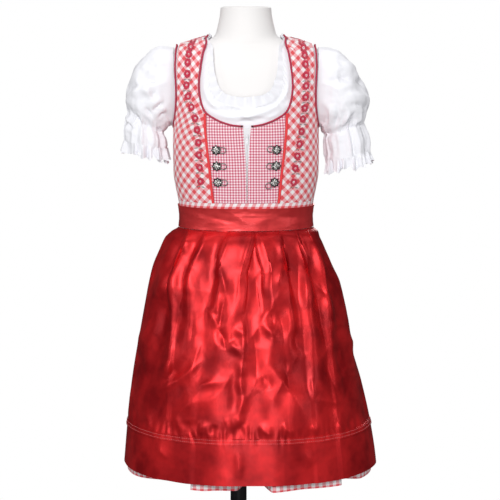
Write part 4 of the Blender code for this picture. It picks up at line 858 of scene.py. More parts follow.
def laid_out(grid):
    """(u, v) of points on the form: the way round from the middle of the back, and up it."""
    share = np.linspace(0, 1, 25)[:, None, None]
    turn = (grid[..., 0] + 1.5 * math.pi) % (2 * math.pi) - math.pi
    height = grid[..., 1]
    across = form_point(turn * share - math.pi / 2, height + 0 * share)
    u = np.linalg.norm(np.diff(across, axis=0), axis=-1).sum(0) * np.sign(turn)
    levels = np.linspace(WAIST, height.max(), 40)
    up = arc_lengths(form_point(np.full(40, -math.pi / 2), levels)[:, None], 0)[:, 0]
    return np.stack([u, np.interp(height, levels, up)], -1)


def arc_lengths(points, axis):
    """Lengths along a grid's rows or columns, from their start."""
    steps = np.linalg.norm(np.diff(points, axis=axis), axis=-1)
    zero = np.zeros_like(np.take(steps, [0], axis))
    return np.concatenate([zero, np.cumsum(steps, axis)], axis)


# Materials

def material(finish):
    """The finish's material, made the first time it is asked for."""
    found = bpy.data.materials.get(finish)
    if found is None:
        found = bpy.data.materials.new(finish)
        found.use_nodes = True
        FINISHES[finish][1](Nodes(found))
    return found


class Nodes:
    """Short calls for building one material's nodes."""

    def __init__(self, made):
        self.tree = made.node_tree
        self.shader = self.tree.nodes["Principled BSDF"]

    def add(self, kind, inputs=None, **settings):
        node = self.tree.nodes.new(f"ShaderNode{kind}")
        for key, value in settings.items():
            setattr(node, key, value)
        for key, value in (inputs or {}).items():
            if isinstance(value, bpy.types.NodeSocket):
                self.tree.links.new(value, node.inputs[key])
            else:
                node.inputs[key].default_value = value
        return node

    def math(self, operation, *values):
        return self.add("Math", dict(enumerate(values)), operation=operation).outputs[0]

    def place(self, stretch=None):
        """The place on the object, in metres, or drawn out upwards by a scale for Z."""
        at = self.add("TexCoord").outputs["Object"]
        if stretch is None:
            return at
        return self.add("Mapping", {"Vector": at, "Scale": (1.0, 1.0, stretch)}).outputs[0]

    def weave(self, turn=0.0):
        """The place on the flat cloth, turned by that many degrees."""
        at = self.add("Attribute", attribute_name="weave").outputs["Vector"]
        turned = self.add("VectorRotate", {"Vector": at, "Angle": math.radians(turn)},
                          rotation_type="Z_AXIS").outputs[0]
        parts = self.add("SeparateXYZ", {0: turned})
        return parts.outputs[0], parts.outputs[1]

    def stripes(self, along, period, share, soft):
        """1 on stripes and 0 between them, with edges as soft as that share of a period."""
        wave = self.math("PINGPONG", self.math("DIVIDE", along, period), 0.5)
        edge = share / 2
        return self.add("MapRange", {
            "Value": wave, "From Min": edge + soft, "From Max": edge - soft,
        }, interpolation_type="SMOOTHSTEP").outputs[0]

    def noise(self, scale, detail=3.0, roughness=0.55, distortion=0.0, stretch=None):
        return self.add("TexNoise", {
            "Vector": self.place(stretch), "Scale": scale, "Detail": detail,
            "Roughness": roughness, "Distortion": distortion,
        }).outputs["Fac"]

    def ramp(self, value, *stops):
        node = self.add("ValToRGB", {"Fac": value})
        points = node.color_ramp.elements
        while len(points) < len(stops):
            points.new(0.5)
        for point, (where, colour) in zip(points, stops):
            point.position = where
            point.color = (*colour, 1)
        return node.outputs["Color"]

    def bump(self, height, distance, strength, before=None):
        inputs = {"Height": height, "Distance": distance, "Strength": strength}
        if before is not None:
            inputs["Normal"] = before
        return self.add("Bump", inputs).outputs[0]

    def set(self, **sockets):
        for key, value in sockets.items():
            name = key.replace("_", " ")
            socket = self.shader.inputs[name]
            if isinstance(value, bpy.types.NodeSocket):
                self.tree.links.new(value, socket)
            else:
                socket.default_value = value


CHECK_RED, CHECK_PINK, CHECK_WHITE = (0.75, 0.080, 0.095), (0.85, 0.39, 0.42), (0.90, 0.86, 0.87)
CHECK_PERIOD = 12.6 * MM
SMALL_CHECK_PERIOD = 4.5 * MM
THREAD = 0.45 * MM


def thread_bump(nodes, ways):
    """Fine plain weave: ribs both ways."""
    ribs = [nodes.math("SINE", nodes.math("MULTIPLY", way, 2 * math.pi / THREAD)) for way in ways]
    return nodes.bump(nodes.math("MULTIPLY", *ribs), 0.05 * MM, 0.6)


def checked(nodes, ways, period, share, soft, white, pink, red):
    """The colour of a woven check: stripes both ways, darkest where they cross."""
    stripes = [nodes.stripes(way, period, share, soft) for way in ways]
    depth = nodes.math("MULTIPLY", nodes.math("ADD", *stripes), 0.5)
    return nodes.ramp(depth, (0.0, white), (0.5, pink), (1.0, red))


def gingham(nodes, turn):
    ways = nodes.weave(turn)
    wobble = nodes.noise(90.0, 2.0)
    shift = nodes.math("MULTIPLY", nodes.math("SUBTRACT", wobble, 0.5), CHECK_PERIOD * 0.10)
    shifted = [nodes.math("ADD", way, shift) for way in ways]
    colour = checked(nodes, shifted, CHECK_PERIOD, 0.5, 0.035, CHECK_WHITE, CHECK_PINK, CHECK_RED)
    worn = nodes.ramp(nodes.noise(700.0, 2.0), (0.3, (0.75,) * 3), (0.7, (1.0,) * 3))
    colour = nodes.add("MixRGB", {"Fac": 0.10, "Color1": colour, "Color2": worn},
                       blend_type="MULTIPLY").outputs[0]
    nodes.set(Base_Color=colour, Roughness=0.82, Sheen_Weight=0.25, Sheen_Roughness=0.5,
              Specular_IOR_Level=0.25, Normal=thread_bump(nodes, ways))


def small_check(nodes):
    ways = nodes.weave()
    colour = checked(nodes, ways, SMALL_CHECK_PERIOD, 0.44, 0.09,
                     (0.88, 0.79, 0.82), (0.78, 0.28, 0.36), (0.48, 0.06, 0.13))
    nodes.set(Base_Color=colour, Roughness=0.8, Sheen_Weight=0.2,
              Specular_IOR_Level=0.25, Normal=thread_bump(nodes, ways))


def white_cotton(nodes):
    colour = nodes.ramp(nodes.noise(35.0, 2.0), (0.3, (0.84, 0.84, 0.90)),
                        (0.7, (0.90, 0.90, 0.94)))
    crinkle = nodes.bump(nodes.noise(210.0, 4.0, 0.6, 0.6), 0.5 * MM, 0.55)
    normal = nodes.bump(nodes.noise(1500.0, 2.0), 0.08 * MM, 0.5, crinkle)
    nodes.set(Base_Color=colour, Roughness=0.85, Sheen_Weight=0.15, Specular_IOR_Level=0.2,
              Subsurface_Weight=0.08, Subsurface_Radius=(0.004, 0.004, 0.005), Normal=normal)


SATIN_BRIGHT, SATIN_DEEP = (0.84, 0.020, 0.024), (0.40, 0.004, 0.008)
# The band's tones are a lighter copy of the apron's satin: a painted highlight.
BAND_LIT_TONES = ((0.68, 0.030, 0.034), (0.97, 0.066, 0.070))    # the photo's band is lighter


def satin(nodes, dent_depth, coat, tones=(SATIN_DEEP, SATIN_BRIGHT), metal=0.58):
    """Satin that is a little metallic, with soft dents and fine threads along the cloth."""
    colour = nodes.ramp(nodes.noise(18.0, 3.0), (0.35, tones[0]), (0.65, tones[1]))
    dents = nodes.bump(nodes.noise(34.0, 2.0, 0.4, 0.8, stretch=0.55), dent_depth, 0.8)
    threads = nodes.noise(5200.0, 1.0, stretch=0.06)
    nodes.set(Base_Color=colour, Metallic=metal, Roughness=0.43, Specular_IOR_Level=0.5,
              Coat_Weight=coat, Coat_Roughness=0.30,
              Normal=nodes.bump(threads, 0.03 * MM, 0.5, dents))


def twisted(nodes, colour, size, dark, full_at, roughness, bump):
    """Cord or thread: a noise of that (scale, detail) gives its ridges, and its colour darkens
    where the ridges are low, a painted shade in the grooves.
    """
    twist = nodes.noise(*size)
    # painted shade: the colour is darkened where the noise, and so the ridge, is low
    shaded = nodes.ramp(twist, (0.3, tuple(c * dark for c in colour)), (full_at, colour))
    nodes.set(Base_Color=shaded, Roughness=roughness, Sheen_Weight=0.3,
              Normal=nodes.bump(twist, *bump))


def piping(nodes, colour):
    twisted(nodes, colour, (1400.0, 2.0), 0.6, 0.65, 0.5, (0.15 * MM, 0.7))


def thread(nodes, colour):
    twisted(nodes, colour, (3000.0, 1.0), 0.75, 0.7, 0.45, (0.06 * MM, 0.8))


def antique_silver(nodes):
    blot = nodes.noise(420.0, 4.0, 0.65)
    colour = nodes.ramp(blot, (0.52, (0.006, 0.006, 0.006)), (0.66, (0.28, 0.27, 0.26)))
    rough = nodes.add("MapRange", {"Value": blot, "To Min": 0.50, "To Max": 0.24}).outputs[0]
    nodes.set(Base_Color=colour, Metallic=0.95, Roughness=rough,
              Normal=nodes.bump(nodes.noise(2600.0, 2.0), 0.05 * MM, 0.6))


def bright_silver(nodes):
    blot = nodes.noise(650.0, 3.0, 0.6)
    colour = nodes.ramp(blot, (0.42, (0.012, 0.012, 0.012)), (0.49, (0.97, 0.96, 0.93)))
    nodes.set(Base_Color=colour, Metallic=0.55, Roughness=0.32,
              Normal=nodes.bump(blot, 0.15 * MM, 0.6))


def plain_metal(nodes, low, high, metal, roughness):
    """Metal whose colour runs between two stops with a fine noise."""
    nodes.set(Base_Color=nodes.ramp(nodes.noise(500.0, 3.0), low, high), Metallic=metal,
              Roughness=roughness)


def black_silver(nodes):
    plain_metal(nodes, (0.40, (0.006, 0.006, 0.006)), (0.70, (0.05, 0.05, 0.05)), 0.3, 0.55)


def white_metal(nodes):
    plain_metal(nodes, (0.35, (0.62, 0.62, 0.66)), (0.60, (0.82, 0.82, 0.85)), 0.25, 0.36)


def zip_white(nodes):
    ribs = nodes.add("TexWave", {"Vector": nodes.place(), "Scale": 260.0, "Distortion": 0.4},
                     bands_direction="Z").outputs["Fac"]
    colour = nodes.ramp(ribs, (0.0, (0.90, 0.90, 0.93)), (1.0, (0.97, 0.97, 0.99)))
    nodes.set(Base_Color=colour, Roughness=0.75, Normal=nodes.bump(ribs, 0.1 * MM, 0.6))


def form_shell(nodes):
    cloud = nodes.noise(9.0, 2.0)
    colour = nodes.ramp(cloud, (0.35, (0.89, 0.905, 0.95)), (0.65, (0.92, 0.935, 0.98)))
    nodes.set(Base_Color=colour, Roughness=0.5,
              Normal=nodes.bump(nodes.noise(900.0, 3.0), 0.05 * MM, 0.4))


def black_lacquer(nodes):
    rub = nodes.noise(30.0, 4.0)
    colour = nodes.ramp(rub, (0.4, (0.012, 0.012, 0.013)), (0.7, (0.03, 0.03, 0.032)))
    rough = nodes.add("MapRange", {"Value": rub, "To Min": 0.22, "To Max": 0.42}).outputs[0]
    nodes.set(Base_Color=colour, Roughness=rough, Coat_Weight=0.3,
              Normal=nodes.bump(nodes.noise(600.0, 3.0), 0.04 * MM, 0.4))


FINISHES = {
    # finish: (record's slot, function that builds its nodes)
    "form_shell": ("form_shell", form_shell),
    "stand_black": ("stand_black", black_lacquer),
    "white_cotton": ("white_cotton", white_cotton),
    "gingham_bias": ("gingham_red", lambda nodes: gingham(nodes, 45)),
    "gingham_straight": ("gingham_red", lambda nodes: gingham(nodes, 0)),
    "small_check": ("small_check_red", small_check),
    "piping_dark": ("piping_dark", lambda nodes: piping(nodes, (0.32, 0.012, 0.045))),
    "piping_red": ("piping_red", lambda nodes: piping(nodes, (0.75, 0.035, 0.06))),
    "satin": ("satin_red", lambda nodes: satin(nodes, 0.9 * MM, 0.06)),
    # the band's satin, lighter than the apron's: a painted highlight
    "satin_band_lit": ("satin_red", lambda nodes: satin(nodes, 1.0 * MM, 0.22, BAND_LIT_TONES, 0.60)),
    "antique_silver": ("antique_silver", antique_silver),
    "bright_silver": ("antique_silver", bright_silver),
    "black_silver": ("antique_silver", black_silver),
    "white_metal": ("antique_silver", white_metal),
    "zip_white": ("zip_white", zip_white),
    "thread_dark": ("piping_dark", lambda nodes: thread(nodes, (0.045, 0.006, 0.012))),
    "thread_coral": ("satin_red", lambda nodes: thread(nodes, (0.80, 0.13, 0.14))),
    "silk_red": ("piping_red", lambda nodes: thread(nodes, (0.68, 0.012, 0.065))),
    "silk_crimson": ("piping_dark", lambda nodes: thread(nodes, (0.28, 0.004, 0.04))),
    "silk_pink": ("white_cotton", lambda nodes: thread(nodes, (0.84, 0.46, 0.54))),
    "silk_white": ("white_cotton", lambda nodes: thread(nodes, (0.85, 0.82, 0.84))),
    "silk_green": ("small_check_red", lambda nodes: thread(nodes, (0.17, 0.21, 0.18))),
}


# The form and its stand

def build_form():
    """The smooth shell of the form, closed at the neck and below."""
    heights = np.unique(np.concatenate([
        np.linspace(FORM_BOTTOM, SHOULDER_HEIGHT, 70), np.linspace(SHOULDER_HEIGHT, FORM_TOP, 45),
    ]))
    rings = form_point(full_turn(FORM_SIDES)[None, :], heights[:, None])
    axis = np.array([GARMENT_X, GARMENT_Y, 0])
    spokes = (rings - axis) * [1, 1, 0]
    rings = rings - FORM_INSET * spokes / np.linalg.norm(spokes, axis=-1, keepdims=True)
    ends = []
    for ring, way in ((rings[0], 1), (rings[-1], -1)):
        middle = ring.mean(0)
        ends.append([
            middle + (ring - middle) * share + [0, 0, way * 0.0012 * (share > 0.97)]
            for share in (0.04, 0.5, 0.9, 0.975)
        ])
    points, faces = capped(np.concatenate([ends[0], rings[1:-1], ends[1][::-1]]))
    made = add_mesh("form_shell", points, faces, "form_shell", sharp=35)
    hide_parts("form_torso")


def finish_stand():
    """The stand's solids stay and get their finish's material."""
    for name in ("stand_base", "stand_pole", "stand_flange"):
        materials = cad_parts[name].data.materials
        materials.clear()
        materials.append(material("stand_black"))


# The blouse

BLOUSE_CREASES = np.array((
    # x0, z0, x1, z1, bend, width, height, in tenths of a millimetre
    (-410, 9500, 500, 9640, -60, 42, 42), (-240, 9400, 400, 9510, 40, 36, 34),
    (-640, 9820, -300, 9560, -40, 36, 30), (660, 9900, 360, 9600, 40, 36, 28),
    (-700, 10100, -560, 9700, -30, 34, 24), (710, 10200, 600, 9760, 30, 34, 24),
    (-580, 9640, -120, 9480, 30, 40, -36), (-120, 9560, 220, 9440, -30, 36, 34),
    (120, 9620, 620, 9720, 40, 40, -34), (-400, 9680, 0, 9600, 20, 34, 28),
    (300, 9480, 580, 9560, -20, 34, 30),
)) / TENTHS
BLOUSE_WALL = 0.7 * MM
NECK_GATHERS, GATHER_HEIGHT = 76, 0.7 * MM
BLOUSE_PUFF, BLOUSE_FOLDS, BLOUSE_SINKS = 1.6 * MM, 1.1 * MM, 0.3 * MM


def inside_neckline(x, z):
    """How far a point seen from the front lies inside the bodice's neckline."""
    beside = neck_width_at(z)[..., 0] - np.abs(x)
    above = z - neck_height_at(np.abs(x))[..., 0]
    return np.where(z < NECK_TURN_HEIGHT, np.minimum(above, beside + 0.01), beside)


def build_blouse_panel(name, back, fine):
    grid = blouse_panel(back, fine)
    rows, columns = grid.shape[:2]
    on_form = at_form(grid)
    x, z = on_form[..., 0] - GARMENT_X, on_form[..., 2]
    row = np.linspace(0, 1, rows)[:, None]
    column = np.linspace(0, 1, columns)[None, :]
    loose = smooth(0.80, 0.92, row) if back else smooth(1.5 * MM, 10 * MM, inside_neckline(x, z))
    near_frill = smooth(0.80, 1.0, row)
    wave = np.sin(column * math.pi * NECK_GATHERS + 1.3 * np.sin(column * 23))
    gathers = (0.35 + 0.65 * near_frill) * GATHER_HEIGHT * wave * smooth(0.62, 0.95, row)
    puff = BLOUSE_PUFF * np.sin(math.pi * smooth(0.5, 1.0, row) * 0.85)
    folds = crumple(on_form, 0.022, 11 if back else 12) * BLOUSE_FOLDS
    if not back:
        folds = folds + pressed(x, z, BLOUSE_CREASES)
    off = BLOUSE_FACES[1] + loose * np.maximum(gathers + puff + folds, -BLOUSE_SINKS)
    made = shell(name, lifted(grid, off), lifted(grid, off - BLOUSE_WALL), "white_cotton")
    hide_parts(name.replace("_cloth", ""))


def blouse_panel(back, fine):
    """The front or back of the blouse: from its neckline out to armhole, side and hem."""
    way = -1 if back else 1
    turns = np.linspace(SHOULDER_SEAM_TURN, 180, ARMHOLE_STEPS)
    if back:
        turns = -np.linspace(-SHOULDER_SEAM_TURN, 180, ARMHOLE_STEPS)
    hole = path([armhole(BLOUSE_ARMHOLE, t) for t in turns])
    below = BLOUSE_ARMHOLE["height"] - BLOUSE_ARMHOLE["half_height"]
    side = path([(0.0, below), (0.0, (below + BLOUSE_HEM) / 2), (0.0, BLOUSE_HEM)])
    hem = path([(way * a, BLOUSE_HEM) for a in np.linspace(0, math.pi / 2, 5)])
    outer = sampled(
        (hole, BLOUSE_UNDERARM_COLUMN * fine), (side, BLOUSE_SIDE_SPANS * fine), (hem, 6 * fine)
    )
    inner = blouse_neck(back)(np.linspace(0, 1, len(outer)))
    rows = (6 if back else 7) * fine
    return wrapped_round_neck(outer, inner, rows, back, BLOUSE_UNDERARM_COLUMN * fine, fine)


FULL_WAVE_HEIGHT, LOW_FRILL = 0.014, 0.009    # of a frill; lower ones are waved less
NECK_FRILL_ROWS, FRILL_CLOTH, FRILL_LEAN = 15, 0.6 * MM, 0.5 * MM


def build_neck_frill():
    """The frill that stands up from the neck's elastic, waved, right round the neck."""
    columns = FRILL_WAVES * 10
    half = columns // 2
    front, back = blouse_neck(), blouse_neck(back=True)
    halfway = sampled((lambda at: front(1 - at), half // 2), (back, half - half // 2))
    seam = np.concatenate([halfway, mirrored(halfway)[-2:0:-1]])
    share = np.abs(np.linspace(0, 2, columns, endpoint=False) - 1)
    around = np.arange(columns) / columns
    drop = curve_through(FRILL_HEIGHTS)(1 - share)[:, 0]
    where = at_form(seam)
    out = lifted(seam, 1.0) - where
    ahead = np.roll(where, -1, axis=0) - np.roll(where, 1, axis=0)
    inward = np.cross(out, ahead)
    inward /= np.linalg.norm(inward, axis=1, keepdims=True)
    angles = around * 2 * math.pi
    drift = lattice_noise(on_circle(angles, 6), 1.0, 21)
    turn = 2 * math.pi * (FRILL_WAVES * around) + 1.1 * drift
    wave = np.sin(turn) + 0.22 * np.sin(2 * turn + 1)
    size = 0.85 + 0.45 * lattice_noise(on_circle(angles, 9, 3), 1.0, 22)
    size = size * np.clip(drop / FULL_WAVE_HEIGHT, 0.2, 1)
    grid = np.empty((NECK_FRILL_ROWS, columns, 3))
    for row, up in enumerate(np.linspace(0, 1, NECK_FRILL_ROWS)):
        stand = FRILL_STAND[0] + (FRILL_STAND[1] - FRILL_STAND[0]) * up
        depth = FRILL_DEPTH[0] + (FRILL_DEPTH[1] * size - FRILL_DEPTH[0]) * up**0.8
        lean = FRILL_LEAN * drift * up
        reach = drop * up * (1 + 0.05 * drift) * np.clip(drop / LOW_FRILL, 0.6, 1) + FRILL_GAP
        grid[row] = where + inward * reach[:, None] + out * (stand + lean + depth * wave)[:, None]
    made = shell("neck_frill_cloth", grid, grid - out * FRILL_CLOTH, "white_cotton", wrap=True)
    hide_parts("blouse_neck_frill")


SLEEVE_CREASES_LEFT = np.array((
    # x0, z0, x1, z1, bend, width, height, in tenths of a millimetre
    (-1980, 9840, -1780, 10020, 30, 60, -85), (-1780, 10020, -1430, 10050, 40, 62, -90),
    (-1570, 10010, -1460, 9790, -20, 45, -50), (-1460, 10040, -1260, 10110, 20, 45, -50),
    (-1840, 9900, -1500, 9860, 30, 75, 50), (-1430, 10060, -1260, 10230, 30, 50, -40),
    (-1260, 9820, -1580, 9560, 40, 55, -65), (-1260, 9680, -1500, 9600, 20, 40, 45),
    (-1260, 9530, -1460, 9440, -20, 36, -40), (-2010, 9700, -1840, 9300, -50, 45, 52),
    (-1940, 9640, -1720, 9360, -40, 40, -50), (-1800, 9600, -1600, 9300, -30, 40, 45),
    (-1990, 9470, -1820, 9250, -30, 32, -40), (-1700, 9640, -1520, 9400, 30, 38, -42),
    (-1900, 10240, -1720, 10410, 40, 62, 50), (-1580, 10440, -1340, 10330, 30, 60, 45),
    (-1680, 10330, -1400, 10200, 30, 55, -35),
)) / TENTHS
SLEEVE_CREASES_RIGHT = np.array((
    # x0, z0, x1, z1, bend, width, height, in tenths of a millimetre
    (2000, 9930, 1760, 10080, -40, 60, -80), (1760, 10080, 1480, 10120, -30, 58, -75),
    (1520, 10120, 1310, 9990, -20, 52, -60), (1780, 9960, 1460, 9900, -30, 75, 45),
    (2060, 9730, 1620, 9820, -60, 56, 55), (2040, 9600, 1680, 9660, -50, 44, -50),
    (1920, 9560, 1740, 9320, 40, 40, 48), (1800, 9600, 1620, 9320, 30, 38, -45),
    (1680, 9600, 1580, 9300, 30, 36, 42), (1500, 9760, 1460, 9260, 30, 42, -50),
    (1390, 9680, 1370, 9300, 10, 34, 36), (1820, 10200, 1600, 10380, -40, 60, 46),
    (1560, 10440, 1340, 10380, -20, 56, 42), (1660, 10260, 1380, 10220, 30, 50, -32),
)) / TENTHS
SLEEVE_COLUMNS, SLEEVE_ROWS = 168, 92
SLEEVE_CLOTH = 0.7 * MM
SLEEVE_OVER = 2.2 * MM         # its first ring is that much wider than the solid sleeve's
SLEEVE_CLEAR = 0.8 * MM        # its first ring lies that far off the blouse's face
SLEEVE_FOLDS, SLEEVE_CRUSH = 4.6 * MM, 2.2 * MM    # heights of its broad and its small folds
ELASTIC_ROW = 5.3              # place of the elastic among the rows of the sleeve's table
ELASTIC_PULL = 3.4 * MM
SHIRRING = 1.1 * MM
CUFF_FRILL_ROWS = 16
SLEEVE_HEAD_LIFT = 2.6 * MM    # so that no gap shows between the sleeve and the piping


def sleeve_rings(side, table, columns):
    """The sleeve's armhole ring and one ring for each row of the table, without gathers."""
    turns = full_turn(columns)
    hole = np.array([
        armhole(BLOUSE_ARMHOLE, math.degrees(t), SLEEVE_OVER - SLEEVE_SET_IN) for t in turns
    ])
    if side == "left":
        hole = mirrored(hole)
    rings = [lifted(hole, BLOUSE_FACES[1] + SLEEVE_CLEAR)]
    for outer_x, outer_z, inner_x, inner_z, half_depth, _ in table:
        outer = np.array([GARMENT_X + outer_x, GARMENT_Y, outer_z])
        inner = np.array([GARMENT_X + inner_x, GARMENT_Y, inner_z])
        long, deep = (outer - inner) / 2, np.array([0, -half_depth, 0])
        spokes = np.outer(np.cos(turns), long) + np.outer(np.sin(turns), deep)
        rings.append((outer + inner) / 2 + spokes)
    return turns, np.array(rings)


def smooth_rows(rings, count):
    """More rows through the rings, on smooth curves; also each row's place among the rings."""
    where = np.linspace(0, len(rings) - 1, count)
    table = np.column_stack([np.arange(len(rings)), rings.reshape(len(rings), -1)])
    return where, curve_through(table)(where).reshape(count, *rings.shape[1:])


def build_sleeve(side, table, creases, seed):
    turns, rings = sleeve_rings(side, table, SLEEVE_COLUMNS)
    where, outer = smooth_rows(rings, SLEEVE_ROWS)
    gather_at = curve_through(
        [(0, 0.0)] + [(k + 1, row[5]) for k, row in enumerate(table)]
    )(where)[:, 0]
    x, z = outer[..., 0] - GARMENT_X, outer[..., 2]
    drift = lattice_noise(on_circle(turns, 3), 1.0, seed)
    turn = SLEEVE_GATHERS * turns + 2.4 * drift
    sharp_wave = np.cos(turn) + 0.30 * np.cos(2 * turn + 0.6) + 0.15 * np.cos(3 * turn)
    uneven = 0.25 + 0.75 * (0.5 + 0.5 * np.cos(3 * turns + 2 * drift + seed))
    at_elastic = np.exp(-((where - ELASTIC_ROW) / 0.55) ** 2)[:, None]
    near_cuff = smooth(3.6, 5.2, where)[:, None] * uneven
    near_head = (1 - smooth(0.8, 2.6, where))[:, None] * smooth(0.0, 0.9, where)[:, None]
    gathers = gather_at[:, None] * sharp_wave * (0.10 + 0.55 * near_cuff + 0.4 * near_head)
    shirring = np.cos(3.4 * turn) * (0.7 + 0.3 * np.cos(turn)) * SHIRRING * at_elastic
    gathers = gathers + shirring - ELASTIC_PULL * at_elastic
    loose = smooth(0.5, 2.2, where)[:, None] * (1 - 0.5 * at_elastic)
    folds = crumple(outer, 0.052, seed, (1.0, 1.0, 1.6)) * SLEEVE_FOLDS
    folds = folds + crumple(outer, 0.021, seed + 5, (1.3, 1.0, 0.8)) * SLEEVE_CRUSH
    facing = np.sin(turns)[None, :]
    front = smooth(0.0, 0.3, facing) * pressed(x, z, creases)
    behind = smooth(0.0, 0.3, -facing) * pressed(x, z, [
        (x0, z0 - 0.006, x1, z1 - 0.004, -bend, width * 1.1, height)
        for x0, z0, x1, z1, bend, width, height in creases
    ])
    at_head = (1 - smooth(0.15, 1.3, where))[:, None] * SLEEVE_HEAD_LIFT
    shift = gathers + at_head + loose * (folds + front + behind)
    normal, _ = grid_normals(outer, wrap=True)
    outer = outer + normal * shift[..., None]
    inner = moved_out(outer, -SLEEVE_CLOTH, wrap=True)
    made = shell(f"sleeve_{side}_cloth", outer, inner, "white_cotton", wrap=True)
    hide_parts(f"blouse_sleeve_{side}")
    build_cuff_frill(side, outer, turns, seed)


def build_cuff_frill(side, sleeve, turns, seed):
    """The frill below a sleeve's elastic, which starts at the sleeve's last row."""
    last = sleeve[-1]
    middle = last.mean(0)
    spokes = last - middle
    down = (last - sleeve[-4]).mean(0)    # the way the sleeve's last rows run
    down /= np.linalg.norm(down)
    drift = lattice_noise(on_circle(turns, 4), 1.0, seed + 8)
    turn = CUFF_WAVES * turns + 3.2 * drift
    wave = np.cos(turn) + 0.45 * np.cos(1.6 * turn + 1.0) + 0.35 * np.cos(2.7 * turn + drift)
    table = curve_through([(k, *row) for k, row in enumerate(CUFF_ROWS)])
    radius = np.linalg.norm(spokes, axis=1)
    frill = []
    for place in np.linspace(0, len(CUFF_ROWS) - 1, CUFF_FRILL_ROWS):
        drop, flare, depth = table(place)
        reach = 1 + (flare + 0.8 * depth * wave) / radius
        hem = drop * (1 + 0.26 * drift + 0.10 * np.cos(turn + 1.0))
        frill.append(middle + spokes * reach[:, None] + down * hem[:, None])
    frill = np.array(frill)
    inner = moved_out(frill, -FRILL_CLOTH, wrap=True)
    made = shell(f"cuff_frill_{side}_cloth", frill, inner, "white_cotton", wrap=True)
    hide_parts(f"blouse_cuff_frill_{side}")


def build_blouse():
    build_blouse_panel("blouse_front_cloth", back=False, fine=8)
    build_blouse_panel("blouse_back_cloth", back=True, fine=6)
    build_neck_frill()
    build_sleeve("left", SLEEVE_LEFT, SLEEVE_CREASES_LEFT, 31)
    build_sleeve("right", SLEEVE_RIGHT, SLEEVE_CREASES_RIGHT, 47)


# The bodice

def panel_seam(seam, top):
    """A front seam's path from the waist up to that height."""
    seam_at = curve_through(seam)
    return path([seen_from_front(float(seam_at(z)[0]), z) for z in np.linspace(WAIST, top, 7)])


def opening_edge(height):
    """The right edge of the front opening, as (angle, height)."""
    return seen_from_front(ZIP_X + float(front_gap(height)[0]), height)


def front_centre_grid(fine):
    neckline, seam = moved_aside(NECKLINE, NECK_INSET), moved_aside(PRINCESS, -SEAM_INSET)
    corner_x, corner_height = crossing(neckline, seam)
    start_x = ZIP_X + float(front_gap(neckline[0][0])[0])
    neck_at = curve_through([(x, z) for z, x in neckline if z < NECK_TURN_HEIGHT])
    xs = np.linspace(start_x, corner_x, 5 * fine + 1)
    top = np.array([seen_from_front(x, float(neck_at(x)[0])) for x in xs])
    left = path([opening_edge(z) for z in np.linspace(WAIST, top[0, 1], 7)])
    left, right = sampled((left, 8 * fine)), sampled((panel_seam(seam, corner_height), 8 * fine))
    bottom = waist_line(left[0, 0], right[0, 0], len(top) - 1)
    return patch(bottom, top, left, right)


def front_side_grid(fine):
    neckline, seam = moved_aside(NECKLINE, NECK_INSET), moved_aside(PRINCESS, SEAM_INSET)
    corner_x, corner_height = crossing(neckline, seam)
    lower = panel_seam(seam, corner_height)
    at_neck, at_hole = seam_end(BODICE_ARMHOLE, NECK_RIDGE_X, NECK_INSET)
    upper = path(
        [seen_from_front(corner_x, corner_height)]
        + [seen_from_front(x, z) for z, x in neckline if z > corner_height + 5 * MM]
        + [at_neck]
    )
    left = sampled((lower, 7 * fine), (upper, 8 * fine))
    below = armhole(BODICE_ARMHOLE, 180, NECK_INSET)[1]
    side = path([(0.0, z) for z in np.linspace(WAIST, below, 5)])
    hole = path([
        armhole(BODICE_ARMHOLE, t, NECK_INSET)
        for t in np.linspace(180, SHOULDER_SEAM_TURN, ARMHOLE_STEPS)
    ])
    right = sampled((side, 5 * fine), (hole, 10 * fine))
    top = sampled((path([at_neck, at_hole]), 5 * fine))
    return patch(waist_line(left[0, 0], 0.0, 5 * fine), top, left, right)


def side_back_grid(fine):
    rear = sampled((rear_seam(), 6 * fine))[::-1]
    hole = path([
        armhole(BODICE_ARMHOLE, -t, NECK_INSET)
        for t in np.linspace(180, BACK_PRINCESS_TURN, 9)
    ])
    below = armhole(BODICE_ARMHOLE, 180, NECK_INSET)[1]
    side = sampled((path([(0.0, z) for z in np.linspace(WAIST, below, 5)]), 6 * fine))
    return patch(waist_line(0.0, rear[0, 0], 4 * fine), sampled((hole, 4 * fine)), side, rear)


def back_centre_grid(fine):
    """The back's middle panel with its two straps, from one shoulder seam to the other."""
    at_neck, _ = seam_end(BODICE_ARMHOLE, NECK_RIDGE_X, NECK_INSET)
    hole = path([
        armhole(BODICE_ARMHOLE, -t, NECK_INSET)
        for t in np.linspace(-SHOULDER_SEAM_TURN, BACK_PRINCESS_TURN, ARMHOLE_STEPS)
    ])
    rear = rear_seam()
    corner = rear(1.0)[0]
    waist = path([(a, WAIST) for a in np.linspace(corner, -math.pi / 2, 4)])
    outer = sampled((hole, 8 * fine), (rear, 6 * fine), (waist, 3 * fine))
    neckline = moved_aside(BACK_NECKLINE, NECK_INSET)
    inner = path(
        [at_neck, ridge(NECK_RIDGE_X + NECK_INSET)]
        + [seen_from_front(x, z, back=True) for z, x in neckline[::-1]]
    )(np.linspace(0, 1, len(outer)))
    return wrapped_round_neck(outer, inner, rows=7 * fine, back=True)


BODICE_UNEVEN = 0.35 * MM
EDGE_ROLL, ROLL_STEPS = 0.45 * MM, 2.5      # how far the edges turn in, over how many rows
BODICE_INNER = BODICE_FACES[0] + 0.3 * MM


